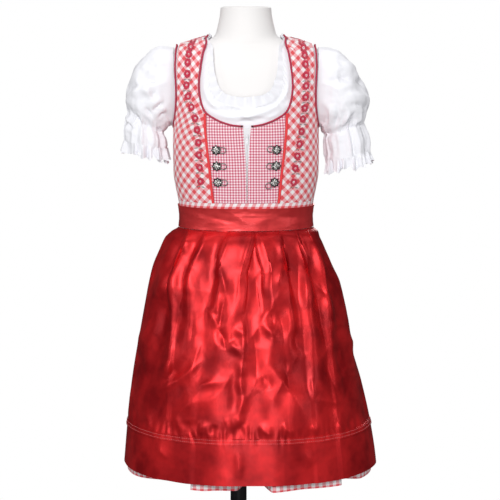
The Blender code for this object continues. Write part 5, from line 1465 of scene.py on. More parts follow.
def build_bodice_panel(name, grid, finish, seed):
    """A panel on the form with soft, shallow unevenness, its weave worked out flat."""
    on_form = at_form(grid)
    rows, columns = grid.shape[:2]
    row = np.linspace(0, 1, rows)[:, None]
    column = np.linspace(0, 1, columns)[None, :]
    inside = np.minimum(smooth(0, 0.12, row) * smooth(0, 0.12, 1 - row),
                        smooth(0, 0.12, column) * smooth(0, 0.12, 1 - column))
    soft = inside * lattice_noise(on_form, 0.030, seed) * BODICE_UNEVEN
    steps = np.minimum(np.minimum(row, 1 - row) * rows, np.minimum(column, 1 - column) * columns)
    rolled = -EDGE_ROLL * np.clip(1 - steps / ROLL_STEPS, 0, 1) ** 2
    off = BODICE_FACES[1] + soft + rolled
    outer = lifted(grid, off)
    inner = lifted(grid, BODICE_INNER)
    if "back" in name:
        weave = flattened(on_form, laid_out(grid), rounds=120)
    else:
        start = np.stack([on_form[..., 0], on_form[..., 2]], -1)
        across = arc_lengths(on_form, 1)
        start[..., 0] = across - across[:, :1] + on_form[:, :1, 0]
        weave = flattened(on_form, start)
        weave = weave - weave[0, columns // 2]
    made = shell(name, outer, inner, finish, weave=weave)
    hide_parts(name.replace("_cloth", ""))


FINE = 6    # spans of the bodice's grids for each span of the solid's


def build_bodice():
    plain = SEAM_GAP / 2
    for name, grid, finish, insets, seed in (
        ("bodice_centre_front", front_centre_grid(FINE), "small_check", {"bottom": plain}, 51),
        ("bodice_side_front", front_side_grid(FINE), "gingham_bias",
         {"bottom": plain, "top": plain}, 53),
        ("bodice_side_back", side_back_grid(FINE), "gingham_bias",
         {"bottom": plain, "right": plain}, 55),
    ):
        grid = drawn_in(grid, **insets)
        if name == "bodice_side_front":
            grid[grid[:, -1, 0] == 0, -1, 0] = SIDE_SEAM_TURN
        if name == "bodice_side_back":
            grid[:, 0, 0] = -SIDE_SEAM_TURN
        build_bodice_panel(f"{name}_right_cloth", grid, finish, seed)
        other = mirrored(grid)
        if name == "bodice_centre_front":
            other = closed_up_to_zip(other)
        build_bodice_panel(f"{name}_left_cloth", other[:, ::-1], finish, seed + 1)
    grid = drawn_in(back_centre_grid(FINE), left=plain, right=plain)
    grid[0] = moved_towards(grid[0], grid[1], plain)
    build_bodice_panel("bodice_centre_back_cloth", grid, "gingham_bias", 57)


FILLS_SEAM = 0.4 * MM                    # so that no gap shows beside a cord
EDGE_CORD_LIFT, SEAM_CORD_LIFT = 0.4 * MM, 0.9 * MM
SOFT_START = 5                           # points over which the left half meets the zip


def build_piping():
    """Cords in the seams: dark ones bind the neck and armholes, red ones run down the front."""
    first = ZIP_X + float(front_gap(NECKLINE[0][0])[0])
    front = [seen_from_front(x, z) for z, x in NECKLINE if x > first]
    front = [seen_from_front(first, NECKLINE[0][0])] + front
    at_neck, _ = seam_end(BODICE_ARMHOLE, NECK_RIDGE_X)
    back = [seen_from_front(x, z, back=True) for z, x in BACK_NECKLINE[::-1]]
    half = sampled((path(front + [at_neck, ridge(NECK_RIDGE_X)] + back), 150))
    other = mirrored(half)
    start = seen_from_front(2 * ZIP_X - first, NECKLINE[0][0])
    share = smooth(0, SOFT_START, np.arange(len(other)))[:, None]
    other = other * share + np.array([start]) * (1 - share)
    span = other[SOFT_START] - start
    other[1:SOFT_START] = [start + span * k / SOFT_START for k in range(1, SOFT_START)]
    loop = np.concatenate([half, other[-2::-1]])
    put_cord("neck_piping_cord", in_wall(loop, EDGE_CORD_LIFT), NECK_PIPING_R, "piping_dark",
             "neck_piping")
    hole = np.array([armhole(BODICE_ARMHOLE, t) for t in range(0, 360, 3)])
    top = NECKLINE_AT_SEAM - NECK_PIPING_R - SEAM_PIPING_R - 2 * SEAM_GAP
    seam_at = curve_through(PRINCESS)
    seam = np.array([
        seen_from_front(float(seam_at(z)[0]), z)
        for z in np.linspace(WAIST + SEAM_GAP, top, 70)
    ])
    for side, across in (("right", np.array), ("left", mirrored)):
        put_cord(f"armhole_piping_{side}_cord", in_wall(across(hole), EDGE_CORD_LIFT),
                 NECK_PIPING_R, "piping_dark", f"armhole_piping_{side}", closed=True)
        put_cord(f"seam_piping_{side}_cord", in_wall(across(seam), SEAM_CORD_LIFT),
                 SEAM_PIPING_R, "piping_red", f"seam_piping_{side}")


def put_cord(name, centres, radius, finish, node, closed=False):
    points, faces = cord_mesh(centres, radius + FILLS_SEAM, 10, closed)
    made = add_mesh(name, points, faces, finish, sharp=70)
    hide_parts(node)


# The skirts

SKIRT_CLOTH = 0.8 * MM
SKIRT_GATHERS = 1.15          # waves for each 10 degrees, near the waist
SKIRT_COLUMNS = 210
SKIRT_TOP, GATHERS_END, SKIRT_HEM = 0.7742, 0.7100, 0.3450
GATHER_DEPTH, SKIRT_FOLD_DEPTH = 1.6 * MM, 1.7 * MM
FRONT_GATHERS = 0.35          # share of the gathers that has room under the apron
STRIP_RIPPLE = 0.25 * MM


def round_waist(columns, low, high, rows):
    """Angles and heights of a grid right round the waist, from the middle of the back."""
    angles = np.linspace(-math.pi / 2, 1.5 * math.pi, columns, endpoint=False)
    return np.broadcast_arrays(angles[None, :], np.linspace(low, high, rows)[:, None])


def build_waistband():
    """The strip of gingham between bodice and skirt, under the apron's band."""
    angle, height = round_waist(240, WAISTBAND_BOTTOM, WAIST - SEAM_GAP / 2, 12)
    ripple = STRIP_RIPPLE * np.sin(angle * 46) * smooth(0.795, 0.80, height)
    outer = cloth_point(angle, height, BODICE_FACES[1] + ripple * 0.6)
    inner = cloth_point(angle, height, BODICE_INNER)
    weave = np.stack([arc_lengths(outer, 1), height - WAISTBAND_BOTTOM], -1)
    made = shell("waistband_cloth", outer, inner, "gingham_straight", wrap=True, weave=weave)
    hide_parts("dress_waistband")


def build_skirt():
    heights = np.concatenate([
        np.linspace(SKIRT_TOP, GATHERS_END, 30)[:-1], np.linspace(GATHERS_END, SKIRT_HEM, 62),
    ])[:, None]
    for name, low, seed in (("skirt_front", 0, 61), ("skirt_back", 180, 67)):
        in_front = name == "skirt_front"
        columns = np.linspace(low + SKIRT_SEAM, low + 180 - SKIRT_SEAM, SKIRT_COLUMNS)
        columns = np.broadcast_to(columns, (len(heights), SKIRT_COLUMNS))
        rows = np.broadcast_to(heights, columns.shape)
        plain = around_skirt(np.radians(columns), rows, skirt_radius(columns, rows))
        edge = smooth(0, 2.5, columns - low) * smooth(0, 2.5, low + 180 - columns)
        drift = lattice_noise(np.stack([columns / 9, 0 * rows, rows * 4], -1), 1.0, seed)
        wave = np.sin(np.radians(columns) * 36 * SKIRT_GATHERS + 2.2 * drift)
        near_waist = smooth(0.62, 0.735, rows) * (1 - 0.75 * smooth(0.758, 0.774, rows))
        gathers = (FRONT_GATHERS if in_front else 1.0) * GATHER_DEPTH * wave * near_waist
        folds = crumple(plain, 0.05, seed, (1, 1, 2.6)) * SKIRT_FOLD_DEPTH
        folds = folds * smooth(0.765, 0.70, rows)
        under_apron = smooth(2, 8, columns) * smooth(2, 8, 180 - columns)
        folds = folds * (1 - 0.7 * under_apron * in_front)
        radius = skirt_radius(columns, rows) + edge * (gathers + folds)
        outer = around_skirt(np.radians(columns), rows, radius)
        lengths = arc_lengths(plain[-1:], 1)
        weave = np.stack([
            np.broadcast_to(lengths, columns.shape), arc_lengths(outer[::-1], 0)[::-1],
        ], -1)
        made = shell(f"{name}_cloth", outer, moved_out(outer, -SKIRT_CLOTH),
                     "gingham_straight", weave=weave, sharp=80)
        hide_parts(name)


APRON_CREASES = np.array((
    # x0, z0, x1, z1, bend, width, height, in tenths of a millimetre
    (-1020, 7620, -1320, 6910, 40, 83, -51), (-1300, 7000, -1530, 6450, 60, 149, 72),
    (-960, 7570, -1080, 7260, 20, 83, 43), (-640, 7580, -900, 7060, 20, 72, 46),
    (-900, 7080, -1000, 6600, -10, 72, 43), (-1000, 6630, -1150, 6120, 10, 80, 37),
    (-290, 7570, -450, 7080, -30, 72, 43), (-460, 7120, -320, 6610, 20, 76, 43),
    (-320, 6650, -460, 5820, -30, 80, -54), (150, 7570, -10, 6990, -10, 66, 39),
    (-10, 7030, -60, 6270, 10, 80, 62), (-60, 6340, -50, 5520, 10, 76, 58),
    (-50, 5600, -80, 5280, -10, 72, 54), (-80, 5360, -50, 5040, -20, 72, 50),
    (-50, 5120, -120, 4700, 20, 72, 46), (180, 7560, 310, 6960, -20, 66, 43),
    (310, 7000, 320, 6550, -10, 72, 34), (560, 7550, 640, 7160, -20, 76, 39),
    (650, 7200, 540, 6760, -30, 80, 37), (910, 7540, 1080, 7160, -20, 72, 39),
    (1120, 7520, 1360, 6870, -30, 76, 43), (960, 7060, 1000, 6340, 20, 121, 54),
    (800, 6100, 990, 5620, -20, 95, -49), (1160, 6760, 1350, 6530, 20, 81, -43),
    (1370, 6060, 1670, 5940, 40, 81, 37), (380, 6420, 440, 6080, 20, 83, -49),
    (240, 6180, 520, 6000, -20, 83, 34), (-680, 6430, -400, 6060, 30, 83, 43),
    (-560, 6400, -440, 6120, 20, 80, -34), (-440, 6100, -330, 5760, 20, 83, -54),
    (-260, 5900, -70, 5660, 10, 76, 39), (-200, 6120, -40, 5960, 20, 76, 33),
    (-630, 5650, -1580, 4950, 40, 72, 34), (-1060, 5560, -1500, 5040, 30, 83, -29),
    (-830, 5150, -280, 5270, 20, 72, 25), (260, 5340, 400, 5120, 20, 80, -37),
    (620, 5600, 700, 5000, 30, 121, -49), (1130, 4970, 1770, 4770, -30, 66, 29),
    (1520, 5220, 1960, 5090, 20, 58, 24), (1600, 5320, 1900, 5230, 10, 54, 21),
    (1070, 5300, 1130, 4940, -10, 66, 25), (1460, 5800, 1880, 5560, 30, 80, 29),
    (-1600, 6200, -1780, 5660, 30, 95, 43), (-1200, 5900, -1360, 5200, 20, 135, 54),
    (-1870, 5400, -1960, 4760, 20, 81, -37), (-1160, 4660, -1050, 4400, 10, 80, 34),
    (-980, 4600, -900, 4410, -10, 72, -33), (-690, 4640, -750, 4390, 20, 80, 34),
    (-500, 4580, -570, 4400, 10, 72, -34), (-300, 4700, -260, 4410, 10, 80, 29),
    (-170, 4750, 30, 4390, 20, 76, 39), (0, 4700, -120, 4430, 10, 66, -34),
    (210, 4590, 450, 4380, -20, 80, 37), (600, 4620, 780, 4400, -30, 76, 29),
    (1040, 4580, 1180, 4380, -20, 76, 25), (1500, 4520, 1660, 4340, -20, 72, 25),
    (-1720, 4620, -1600, 4360, 10, 80, 33), (-120, 4180, -130, 3660, 10, 80, 21),
    (900, 4120, 1060, 3840, 20, 81, 24), (-1500, 4100, -1280, 3920, 20, 81, 21),
    (-1500, 6400, -1680, 5600, 60, 110, 40), (-1280, 6500, -1400, 5850, -40, 90, -36),
    (-860, 6400, -1000, 5600, 40, 90, -34), (-700, 5900, -940, 5200, -30, 80, 30),
    (500, 6400, 620, 5800, 40, 90, -36), (740, 6500, 840, 5900, -30, 80, 34),
    (1100, 6400, 1340, 5700, 50, 100, -36), (1360, 6600, 1580, 6000, -40, 90, 36),
    (100, 6000, 180, 5200, 30, 90, -30), (300, 5600, 900, 4700, 60, 100, 34),
    (-400, 5400, -1000, 4700, -60, 100, 32), (-1300, 5200, -1600, 4500, 40, 100, -34),
    (1200, 5600, 1600, 4700, 60, 110, -34),
)) / TENTHS
STITCH_PITCH, STITCH_LONG, STITCH_R = 3.6 * MM, 2.6 * MM, 0.36 * MM
APRON_HEM_LINE = 0.430
APRON_OVERLAP = 0.004
APRON_BETWEEN, APRON_AT_STEP = 22, 10        # columns between pleats and over a pleat's step
APRON_ROWS, APRON_ROWS_AT_BAND, CLOSE_ROWS_END = 170, 28, 0.7200
APRON_CLOTH = 0.6 * MM
APRON_OVER_SKIRT, CLEAR_EASE = 2.4 * MM, 0.5 * MM
SATIN_SOFT, SATIN_CREASED = 4.6 * MM, 2.8 * MM    # heights of its soft and its sharp folds
APRON_PUCKER, PUCKER_HEIGHT = 0.012, 0.7 * MM


def apron_columns(height):
    """(angle, level) of the apron's columns at one height, with its pleats turned under."""
    width = apron_fold(height)[1]
    half_width, front, _, shift = skirt_outline(height)
    left, right = (math.radians(a) for a in APRON_SIDE_ANGLES[::-1])
    lap = APRON_OVERLAP * float(smooth(0.66, 0.74, height))
    lap = lap * (1 - 0.5 * float(smooth(0.745, APRON_TOP, height)))
    row = [(left, 0.0)]
    for *xs, level_left, level_right in APRON_PLEATS:
        x = float(curve_through(list(zip(APRON_FOLD_HEIGHTS, xs)))(height)[0]) - shift
        share = min(abs(x) / half_width, 1.0)
        y = front * (1 - share**SKIRT_SQUARENESS) ** (1 / SKIRT_SQUARENESS)
        angle, radius = math.atan2(y, x), math.hypot(x, y)
        half = width / 2 / radius
        row += eased_stretch(row[-1], (angle + half, level_left), APRON_BETWEEN)
        for k in range(1, APRON_AT_STEP + 1):
            t = k / APRON_AT_STEP
            turn = angle + half * (1 - 2 * t) + lap / radius * math.sin(2 * math.pi * t)
            row.append((turn, level_left + (level_right - level_left) * eased(t)))
    row += eased_stretch(row[-1], (right, 0.0), APRON_BETWEEN)
    return np.array(row).T


def eased_stretch(start, end, count):
    """Columns from after one (angle, level) to another, the level eased at both ends."""
    turn, rise = end[0] - start[0], end[1] - start[1]
    return [
        (start[0] + turn * share, start[1] + rise * eased(share))
        for share in np.linspace(0, 1, count + 1)[1:]
    ]


def clear_of_skirt(points):
    """The apron's points, moved out where they come too near the skirt below."""
    height = points[..., 2]
    shift = skirt_outline(height)[..., 3]
    away_x, away_y = points[..., 0] - GARMENT_X - shift, GARMENT_Y - points[..., 1]
    angle, radius = np.arctan2(away_y, away_x), np.hypot(away_x, away_y)
    least = skirt_radius(np.degrees(angle), height) + APRON_OVER_SKIRT
    more = CLEAR_EASE * np.logaddexp(0, (least - radius) / CLEAR_EASE)
    return around_skirt(angle, height, radius + more)


def leaning(points, lean):
    """The points sheared sideways and drawn out upwards, so that creases run slanting."""
    place = points / np.array([1.0, 1.0, 1.9])
    place[..., 0] += lean * points[..., 2]
    return place


def build_apron():
    heights = np.concatenate([
        np.linspace(APRON_TOP, CLOSE_ROWS_END, APRON_ROWS_AT_BAND)[:-1],
        np.linspace(CLOSE_ROWS_END, APRON_BOTTOM, APRON_ROWS - APRON_ROWS_AT_BAND + 1),
    ])
    grid = []
    for height in heights:
        angles, levels = apron_columns(height)
        depth = apron_fold(height)[0]
        radius = outline_radius(angles, height) + levels * depth
        grid.append(around_skirt(angles, np.full(len(angles), height), radius))
    grid = np.array(grid)
    x, z = grid[..., 0] - GARMENT_X, heights[:, None] + 0 * grid[..., 0]
    column = np.linspace(0, 1, grid.shape[1])[None, :]
    side_edge = smooth(0, 0.02, column) * smooth(0, 0.02, 1 - column)
    body = smooth(APRON_TOP, 0.735, z)
    above_hem = smooth(APRON_HEM_LINE - 0.004, APRON_HEM_LINE + 0.02, z)
    soft = lattice_noise(grid / np.array([1.0, 1.0, 1.5]), 0.078, 71) * SATIN_SOFT
    sharp_valleys = np.abs(lattice_noise(leaning(grid, 0.5), 0.056, 75))
    sharp_ridges = np.abs(lattice_noise(leaning(grid, -0.6), 0.047, 76))
    wrinkles = (sharp_valleys - sharp_ridges) * SATIN_CREASED
    puckers = (
        np.sin(x * 2 * math.pi / APRON_PUCKER + 2.5 * lattice_noise(grid, 0.03, 79))
        * np.exp(-((z - APRON_HEM_LINE - 0.010) / 0.012) ** 2) * PUCKER_HEIGHT
    )
    by_hand = pressed(x, z, APRON_CREASES)
    loose = soft * (0.35 + 0.65 * above_hem) + above_hem * wrinkles + puckers
    shift = side_edge * (body * loose + smooth(APRON_TOP, 0.752, z) * by_hand)
    normal, _ = grid_normals(grid, wrap=False)
    outer = clear_of_skirt(grid + normal * shift[..., None])
    made = shell("apron_cloth", outer, moved_out(outer, -APRON_CLOTH), "satin", sharp=80)
    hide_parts("apron_skirt")
    build_tuck(outer, normal, heights)
    build_band()


def build_tuck(outer, normal, heights):
    """The tuck that is folded into the apron above its hem: a narrow lip of cloth."""
    inside = (heights <= TUCK_TOP + 0.001) & (heights >= TUCK_BOTTOM - 0.001)
    rows = outer[inside]
    out = normal[inside]
    share = np.linspace(0, 1, len(rows))[:, None, None]
    lift = TUCK_LIFT + TUCK_OPENS * share
    front = rows + out * (lift + APRON_CLOTH)
    made = shell("apron_tuck_cloth", front, rows + out * lift, "satin", sharp=80)
    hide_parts("apron_tuck")
    seams = []
    for row in (1, len(rows) - 2):
        seams += seam_stitches(front[row], out[row])
    add_mesh("apron_stitches", *joined(seams), "thread_coral", sharp=80)


BAND_CREASES = np.array((
    # x0, z0, x1, z1, bend, width, height, in tenths of a millimetre
    (-1080, 7920, -400, 7680, 30, 80, 8), (-860, 7970, -120, 7760, -20, 60, -7),
    (-300, 7960, 160, 7640, 20, 85, 9), (40, 7680, 640, 7900, 30, 80, 9),
    (280, 7970, 960, 7800, -30, 65, -7), (520, 7660, 1120, 7760, 20, 55, 6),
)) / TENTHS
BAND_CREASED, BAND_GRAIN, BAND_ROLL = 0.55 * MM, 0.16 * MM, 0.35 * MM
BAND_OUTER, BAND_INNER = BAND_FACES[1] - 0.4 * MM, BAND_FACES[0] + 0.2 * MM


def build_band():
    """The apron's waistband, with shallow crosswise creases; its satin is a lighter copy of the
    apron's, a painted highlight.
    """
    angle, height = round_waist(360, BAND_BOTTOM, BAND_TOP, 26)
    on_form = form_point(angle, height)
    share = (height - BAND_BOTTOM) / (BAND_TOP - BAND_BOTTOM)
    edge = smooth(0, 0.12, share) * smooth(0, 0.12, 1 - share)
    along = on_circle(angle, 0.11)
    along[..., 2] = height * 5
    creases = crumple(along, 0.045, 83) * BAND_CREASED
    small = lattice_noise(on_form, 0.007, 85) * BAND_GRAIN
    roll = BAND_ROLL * (np.exp(-(share / 0.07) ** 2) + np.exp(-((1 - share) / 0.07) ** 2))
    by_hand = pressed(on_form[..., 0] - GARMENT_X, height, BAND_CREASES)
    by_hand = np.where(on_form[..., 1] < GARMENT_Y, by_hand, by_hand[:, ::-1] * 0.8)
    off = BAND_OUTER + edge * (creases + small + by_hand) + roll
    outer = cloth_point(angle, height, off)
    inner = cloth_point(angle, height, BAND_INNER)
    made = shell("apron_band_cloth", outer, inner, "satin_band_lit", wrap=True)
    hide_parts("apron_waistband")


# The bow

def ribbon_grid(centres, widths, across, out, folds):
    """A ribbon's outer face: centres, widths and directions by row, folds by (row, side)."""
    sides = np.linspace(-0.5, 0.5, folds.shape[1])[None, :, None]
    spread = np.broadcast_to(across, centres.shape)[:, None] * widths[:, None, None]
    return centres[:, None] + sides * spread + out[:, None] * folds[..., None]


def build_ribbon(kind, side, grid, out, ruffle):
    """A stretch of the bow's ribbon, creased by the ruffle and with a face either way."""
    grid = grid + out[:, None] * ruffle[..., None]
    half = out[:, None] * RIBBON_HALF
    made = shell(f"bow_{kind}_{side}_cloth", grid + half, grid - half, "satin", sharp=80)
    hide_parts(f"apron_bow_{kind}_{side}")


def build_bow():
    """A plain bow behind: a knot on the band, two loops beside it and two ends below."""
    back = cloth_point(-math.pi / 2, BOW_HEIGHT, BAND_FACES[1] + KNOT_STAND)
    x, y = back[0], back[1]
    build_knot(x, y)
    turn = np.linspace(0, 2 * math.pi, 81)
    bulge = np.sin(turn / 2)
    side_share = np.linspace(-1, 1, 25)
    for side, way, phase in (("right", 1, 0.4), ("left", -1, 2.0)):
        reach = KNOT_W / 2 + SEAM_GAP + LOOP_REACH * bulge
        depth = y + KNOT_T / 2 - LOOP_BULGE * np.sin(turn) - BOW_RETREAT * bulge**2
        centres = np.column_stack([x + way * reach, depth, BOW_HEIGHT - LOOP_DROP * bulge**2])
        ahead = np.gradient(centres, axis=0)
        out = np.column_stack([ahead[:, 1], -ahead[:, 0], 0 * turn])
        out /= np.linalg.norm(out, axis=1, keepdims=True)
        widths = LOOP_ROOT_W + (LOOP_W - LOOP_ROOT_W) * bulge
        root = np.exp(-((bulge / 0.35) ** 2))
        folds = (
            LOOP_FOLD * np.cos(side_share[None, :] * 9 + phase + 2 * bulge[:, None])
            * (0.25 + 0.75 * root[:, None])
        )
        grid = ribbon_grid(centres, widths, np.array([0, 0, 1.0]), out, folds)
        build_ribbon("loop", side, grid, out, crumple(grid, 0.02, 91) * LOOP_RUFFLE)
    fall = np.linspace(0, 1, 90)
    top = BOW_HEIGHT - KNOT_H / 2 - SEAM_GAP
    heights = top + (BOW_HEIGHT - TAIL_LENGTH - top) * fall
    for side, way, phase in (("right", 1, 0.0), ("left", -1, 1.1)):
        spread = way * (TAIL_START + TAIL_SPREAD * fall**TAIL_SPREAD_POWER)
        angle = -math.pi / 2 + spread / outline_radius(-math.pi / 2, heights)
        centres = around_skirt(angle, heights, outline_radius(angle, heights) + TAIL_CLEAR)
        near_knot = smooth(0, 0.22, fall)
        centres[:, 1] = np.maximum(centres[:, 1], (y + KNOT_T / 2) * (1 - near_knot))
        widths = TAIL_ROOT_W + (TAIL_W - TAIL_ROOT_W) * smooth(0, TAIL_FULL_AT, fall)
        out = np.column_stack([np.cos(angle), -np.sin(angle), 0 * angle])
        across = np.column_stack([-np.sin(angle), -np.cos(angle), 0 * angle])
        folds = (
            TAIL_FOLD * np.cos(side_share[None, :] * 4.4 + phase + 1.5 * fall[:, None])
            * (1.0 - 0.5 * fall[:, None])
        ) + TAIL_FOLD
        grid = ribbon_grid(centres, widths, across, out, folds)
        ruffle = crumple(grid, 0.025, 95, (1, 1, 2)) * TAIL_RUFFLE
        grid[..., 2] += way * TAIL_SLANT * smooth(0.93, 1.0, fall)[:, None] * side_share[None, :]
        build_ribbon("end", side, grid, out, ruffle)


def build_knot(x, y):
    """The knot: a rounded, creased wrap of the same satin."""
    turns = full_turn(KNOT_COLUMNS)
    cos, sin = np.cos(turns), np.sin(turns)
    rings = []
    for share in np.linspace(-1, 1, KNOT_ROWS):
        pinch = max((1 - abs(share) ** 6) ** (1 / 3), 0.02)
        wide, deep = KNOT_W / 2 * pinch, KNOT_T / 2 * pinch
        fold = 1 + 0.06 * math.sin(share * 9 + 1) + 0.05 * np.sin(share * 7 + 3 * cos)
        rings.append(np.column_stack([
            x + wide * np.sign(cos) * np.abs(cos) ** 0.7 * 0.95,
            y + KNOT_T / 2 + deep * np.sign(sin) * np.abs(sin) ** 0.7 * fold,
            np.full(KNOT_COLUMNS, BOW_HEIGHT + share * KNOT_H / 2),
        ]))
    points, faces = capped(rings)
    made = add_mesh("bow_knot_cloth", points, faces, "satin", sharp=80)
    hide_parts("apron_bow_knot")


# Embroidery, stitching and metal

FLOWERS_LEFT = (
    # x, z from the figure's middle and the floor, from the shoulder down
    (-0.0861, 1.0685), (-0.0888, 1.0590), (-0.0915, 1.0478), (-0.0930, 1.0350),
    (-0.0932, 1.0178), (-0.0942, 1.0000), (-0.0915, 0.9823), (-0.0860, 0.9650),
    (-0.0800, 0.9470), (-0.0768, 0.9280), (-0.0748, 0.9075), (-0.0742, 0.8875),
    (-0.0730, 0.8670), (-0.0720, 0.8445),
)
FLOWERS_RIGHT = (
    (0.0905, 1.0665), (0.0930, 1.0570), (0.0942, 1.0462), (0.0953, 1.0325),
    (0.0960, 1.0155), (0.0955, 0.9990), (0.0947, 0.9810), (0.0930, 0.9635),
    (0.0898, 0.9455), (0.0878, 0.9253), (0.0848, 0.9050), (0.0815, 0.8855),
    (0.0785, 0.8655), (0.0760, 0.8430),
)
FLOWER_WIDE, FLOWER_HIGH = 5.7 * MM, 6.7 * MM
FLOWER_EYE = 1.9 * MM
FLOWER_STITCHES, LEAF_STITCHES = 30, 6
LEAF_LONG, LEAF_WIDE = 5.2 * MM, 2.8 * MM
LEAF_ROOM = 0.0162         # height from flower to flower that leaves room for leaves
EYE_REACH, EYE_HALF = 0.75 * MM, 0.5 * MM
STITCHES = {
    # kind: (width of the thread, how far it stands off the cloth)
    "petal": (1.15 * MM, 0.5 * MM), "vein": (0.9 * MM, 0.9 * MM), "eye": (1.3 * MM, 0.8 * MM),
    "leaf": (0.8 * MM, 0.35 * MM), "stem": (0.6 * MM, 0.35 * MM), "tack": (0.9 * MM, 1.5 * MM),
}
STEMS = (
    # start and end beside and above the place of the leaves, in millimetres
    (-4.2, -1.2, -1.2, 1.6), (4.6, 1.8, 1.0, 1.2), (0.0, -2.0, 0.4, 2.0),
)


def bodice_place(x, z, lift):
    """A point on the bodice's front and the direction square to it."""
    angle, height = seen_from_front(x, z)
    low, high = cloth_point(angle, height, BODICE_FACES[1]), cloth_point(angle, height, 0.02)
    out = (high - low) / np.linalg.norm(high - low)
    return low + out * lift, out


def stitch(kind, start, end):
    """Points and faces of one stitch between two places on the bodice, seen from the front."""
    width, lift = STITCHES[kind]
    centres, ups = [], []
    for share, rise in ((0.0, 0.1), (0.3, 0.9), (0.7, 0.9), (1.0, 0.1)):
        x, z = (a + (b - a) * share for a, b in zip(start, end))
        place, out = bodice_place(x, z, lift * rise)
        centres.append(place)
        ups.append(out)
    return cord_mesh(centres, width / 2 * np.array([0.5, 1, 1, 0.5]), 5, up=np.array(ups),
                     squash=0.7)


def flower_stitches(x, z, turn):
    """Stitches of one flower by thread colour: a ring of petals round a pale eye."""
    petals, edge, eye = [], [], []
    for k in range(FLOWER_STITCHES):
        angle = turn + 2 * math.pi * k / FLOWER_STITCHES
        petal = 1 + 0.08 * math.cos(5 * angle + turn)
        cos, sin = math.cos(angle), math.sin(angle)
        inner = (x + FLOWER_EYE * cos, z + FLOWER_EYE * 1.15 * sin)
        outer = (x + FLOWER_WIDE * petal * cos, z + FLOWER_HIGH * petal * sin)
        petals.append(stitch("petal", inner, outer))
        if k % 3 == 0:
            middle = tuple((a + b) / 2 for a, b in zip(inner, outer))
            edge.append(stitch("vein", middle, outer))
    for k in range(5):
        angle = turn + 2 * math.pi * k / 5
        spot_x, spot_z = x + EYE_REACH * math.cos(angle), z + EYE_REACH * math.sin(angle)
        eye.append(stitch("eye", (spot_x - EYE_HALF, spot_z), (spot_x + EYE_HALF, spot_z)))
    return petals, edge, eye


def leaf_stitches(x, z, way):
    """Slanted stitches of a leaf that points outwards and a little down."""
    made = []
    for share in np.linspace(0.05, 0.95, LEAF_STITCHES):
        middle_x = x + way * LEAF_LONG * share
        middle_z = z - 0.25 * LEAF_LONG * share
        half = LEAF_WIDE / 2 * math.sin(math.pi * min(max(share, 0.15), 0.9))
        made.append(stitch("leaf", (middle_x, middle_z + half),
                           (middle_x + way * 0.5 * MM, middle_z - half)))
    return made


def build_embroidery():
    for side, flowers in (("left", FLOWERS_LEFT), ("right", FLOWERS_RIGHT)):
        petals, edges, eyes, leaves, stems = [], [], [], [], []
        for k, (x, z) in enumerate(flowers):
            roomy = k and flowers[k - 1][1] - z > LEAF_ROOM
            some_petals, some_edges, some_eyes = flower_stitches(x, z, 0.7 * k)
            petals += some_petals
            edges += some_edges
            eyes += some_eyes
            below = z - FLOWER_HIGH - 2.2 * MM
            if roomy:
                leaves += leaf_stitches(x - 0.8 * MM, below + 0.6 * MM, -1)
                leaves += leaf_stitches(x + 1.4 * MM, below, 1)
                for x0, z0, x1, z1 in STEMS:
                    start, end = (x + x0 * MM, below + z0 * MM), (x + x1 * MM, below + z1 * MM)
                    stems.append(stitch("stem", start, end))
        for kind, parts, finish in (
            ("petals", petals, "silk_red"), ("veins", edges, "silk_crimson"),
            ("eyes", eyes, "silk_pink"), ("leaves", leaves, "silk_green"),
            ("stems", stems, "silk_white"),
        ):
            add_mesh(f"embroidery_{kind}_{side}", *joined(parts), finish, sharp=80)


def seam_stitches(centres, ups):
    """A row of short raised stitches along a line of points."""
    centres, ups = np.asarray(centres), np.asarray(ups)
    steps = np.linalg.norm(np.diff(centres, axis=0), axis=1)
    along = np.concatenate([[0], np.cumsum(steps)])
    parts = []
    for start in np.arange(STITCH_PITCH / 2, along[-1] - STITCH_LONG, STITCH_PITCH):
        at = start + STITCH_LONG * np.array([0.0, 0.35, 0.65, 1.0])
        line = np.stack([np.interp(at, along, centres[:, k]) for k in range(3)], -1)
        up = np.stack([np.interp(at, along, ups[:, k]) for k in range(3)], -1)
        line = line + up * (STITCH_R * np.array([-0.6, 0.5, 0.5, -0.6]))[:, None]
        parts.append(cord_mesh(line, STITCH_R * np.array([0.6, 1, 1, 0.6]), 5, up=up))
    return parts


PETALS = (
    # degrees round from the right, length and width as shares of the hook's radius
    (4, 1.10, 0.34), (47, 0.98, 0.26), (92, 1.08, 0.34), (133, 1.00, 0.26),
    (181, 1.10, 0.34), (226, 0.96, 0.26), (270, 1.08, 0.34), (317, 1.00, 0.26),
)
PETAL_RINGS = (
    # shares of a petal's length, of its width and of the ornament's thickness
    (0.18, 0.45, 0.60), (0.40, 0.95, 0.62), (0.62, 1.0, 0.50), (0.84, 0.72, 0.36),
    (0.98, 0.22, 0.20),
)
PETAL_SIDES = (
    # share of a petal's half width, height over its ridges in millimetres
    (-1.0, -0.45), (-0.75, 0.0), (-0.2, -0.2), (0.2, -0.2), (0.75, 0.0), (1.0, -0.45),
)
BACK_RINGS = (
    # shares of the back's radius and of the ornament's thickness
    (1.0, 0.0), (1.0, 0.25), (0.9, 0.32), (0.5, 0.40), (0.02, 0.42),
)
SMALL_PETALS, SMALL_LIFT = 6, 0.5 * MM
BEADS_ROUND, BEAD_REACH, BEAD_R = 6, 1.35 * MM, 0.62 * MM
HOOK_GROWTH = 1.22         # the cast flower is that much wider than the solid in its place
BACK_SIDES, RING_SIDES = 64, 40
TACK_LONG, TACK_PITCH = 4.2 * MM, 0.55 * MM


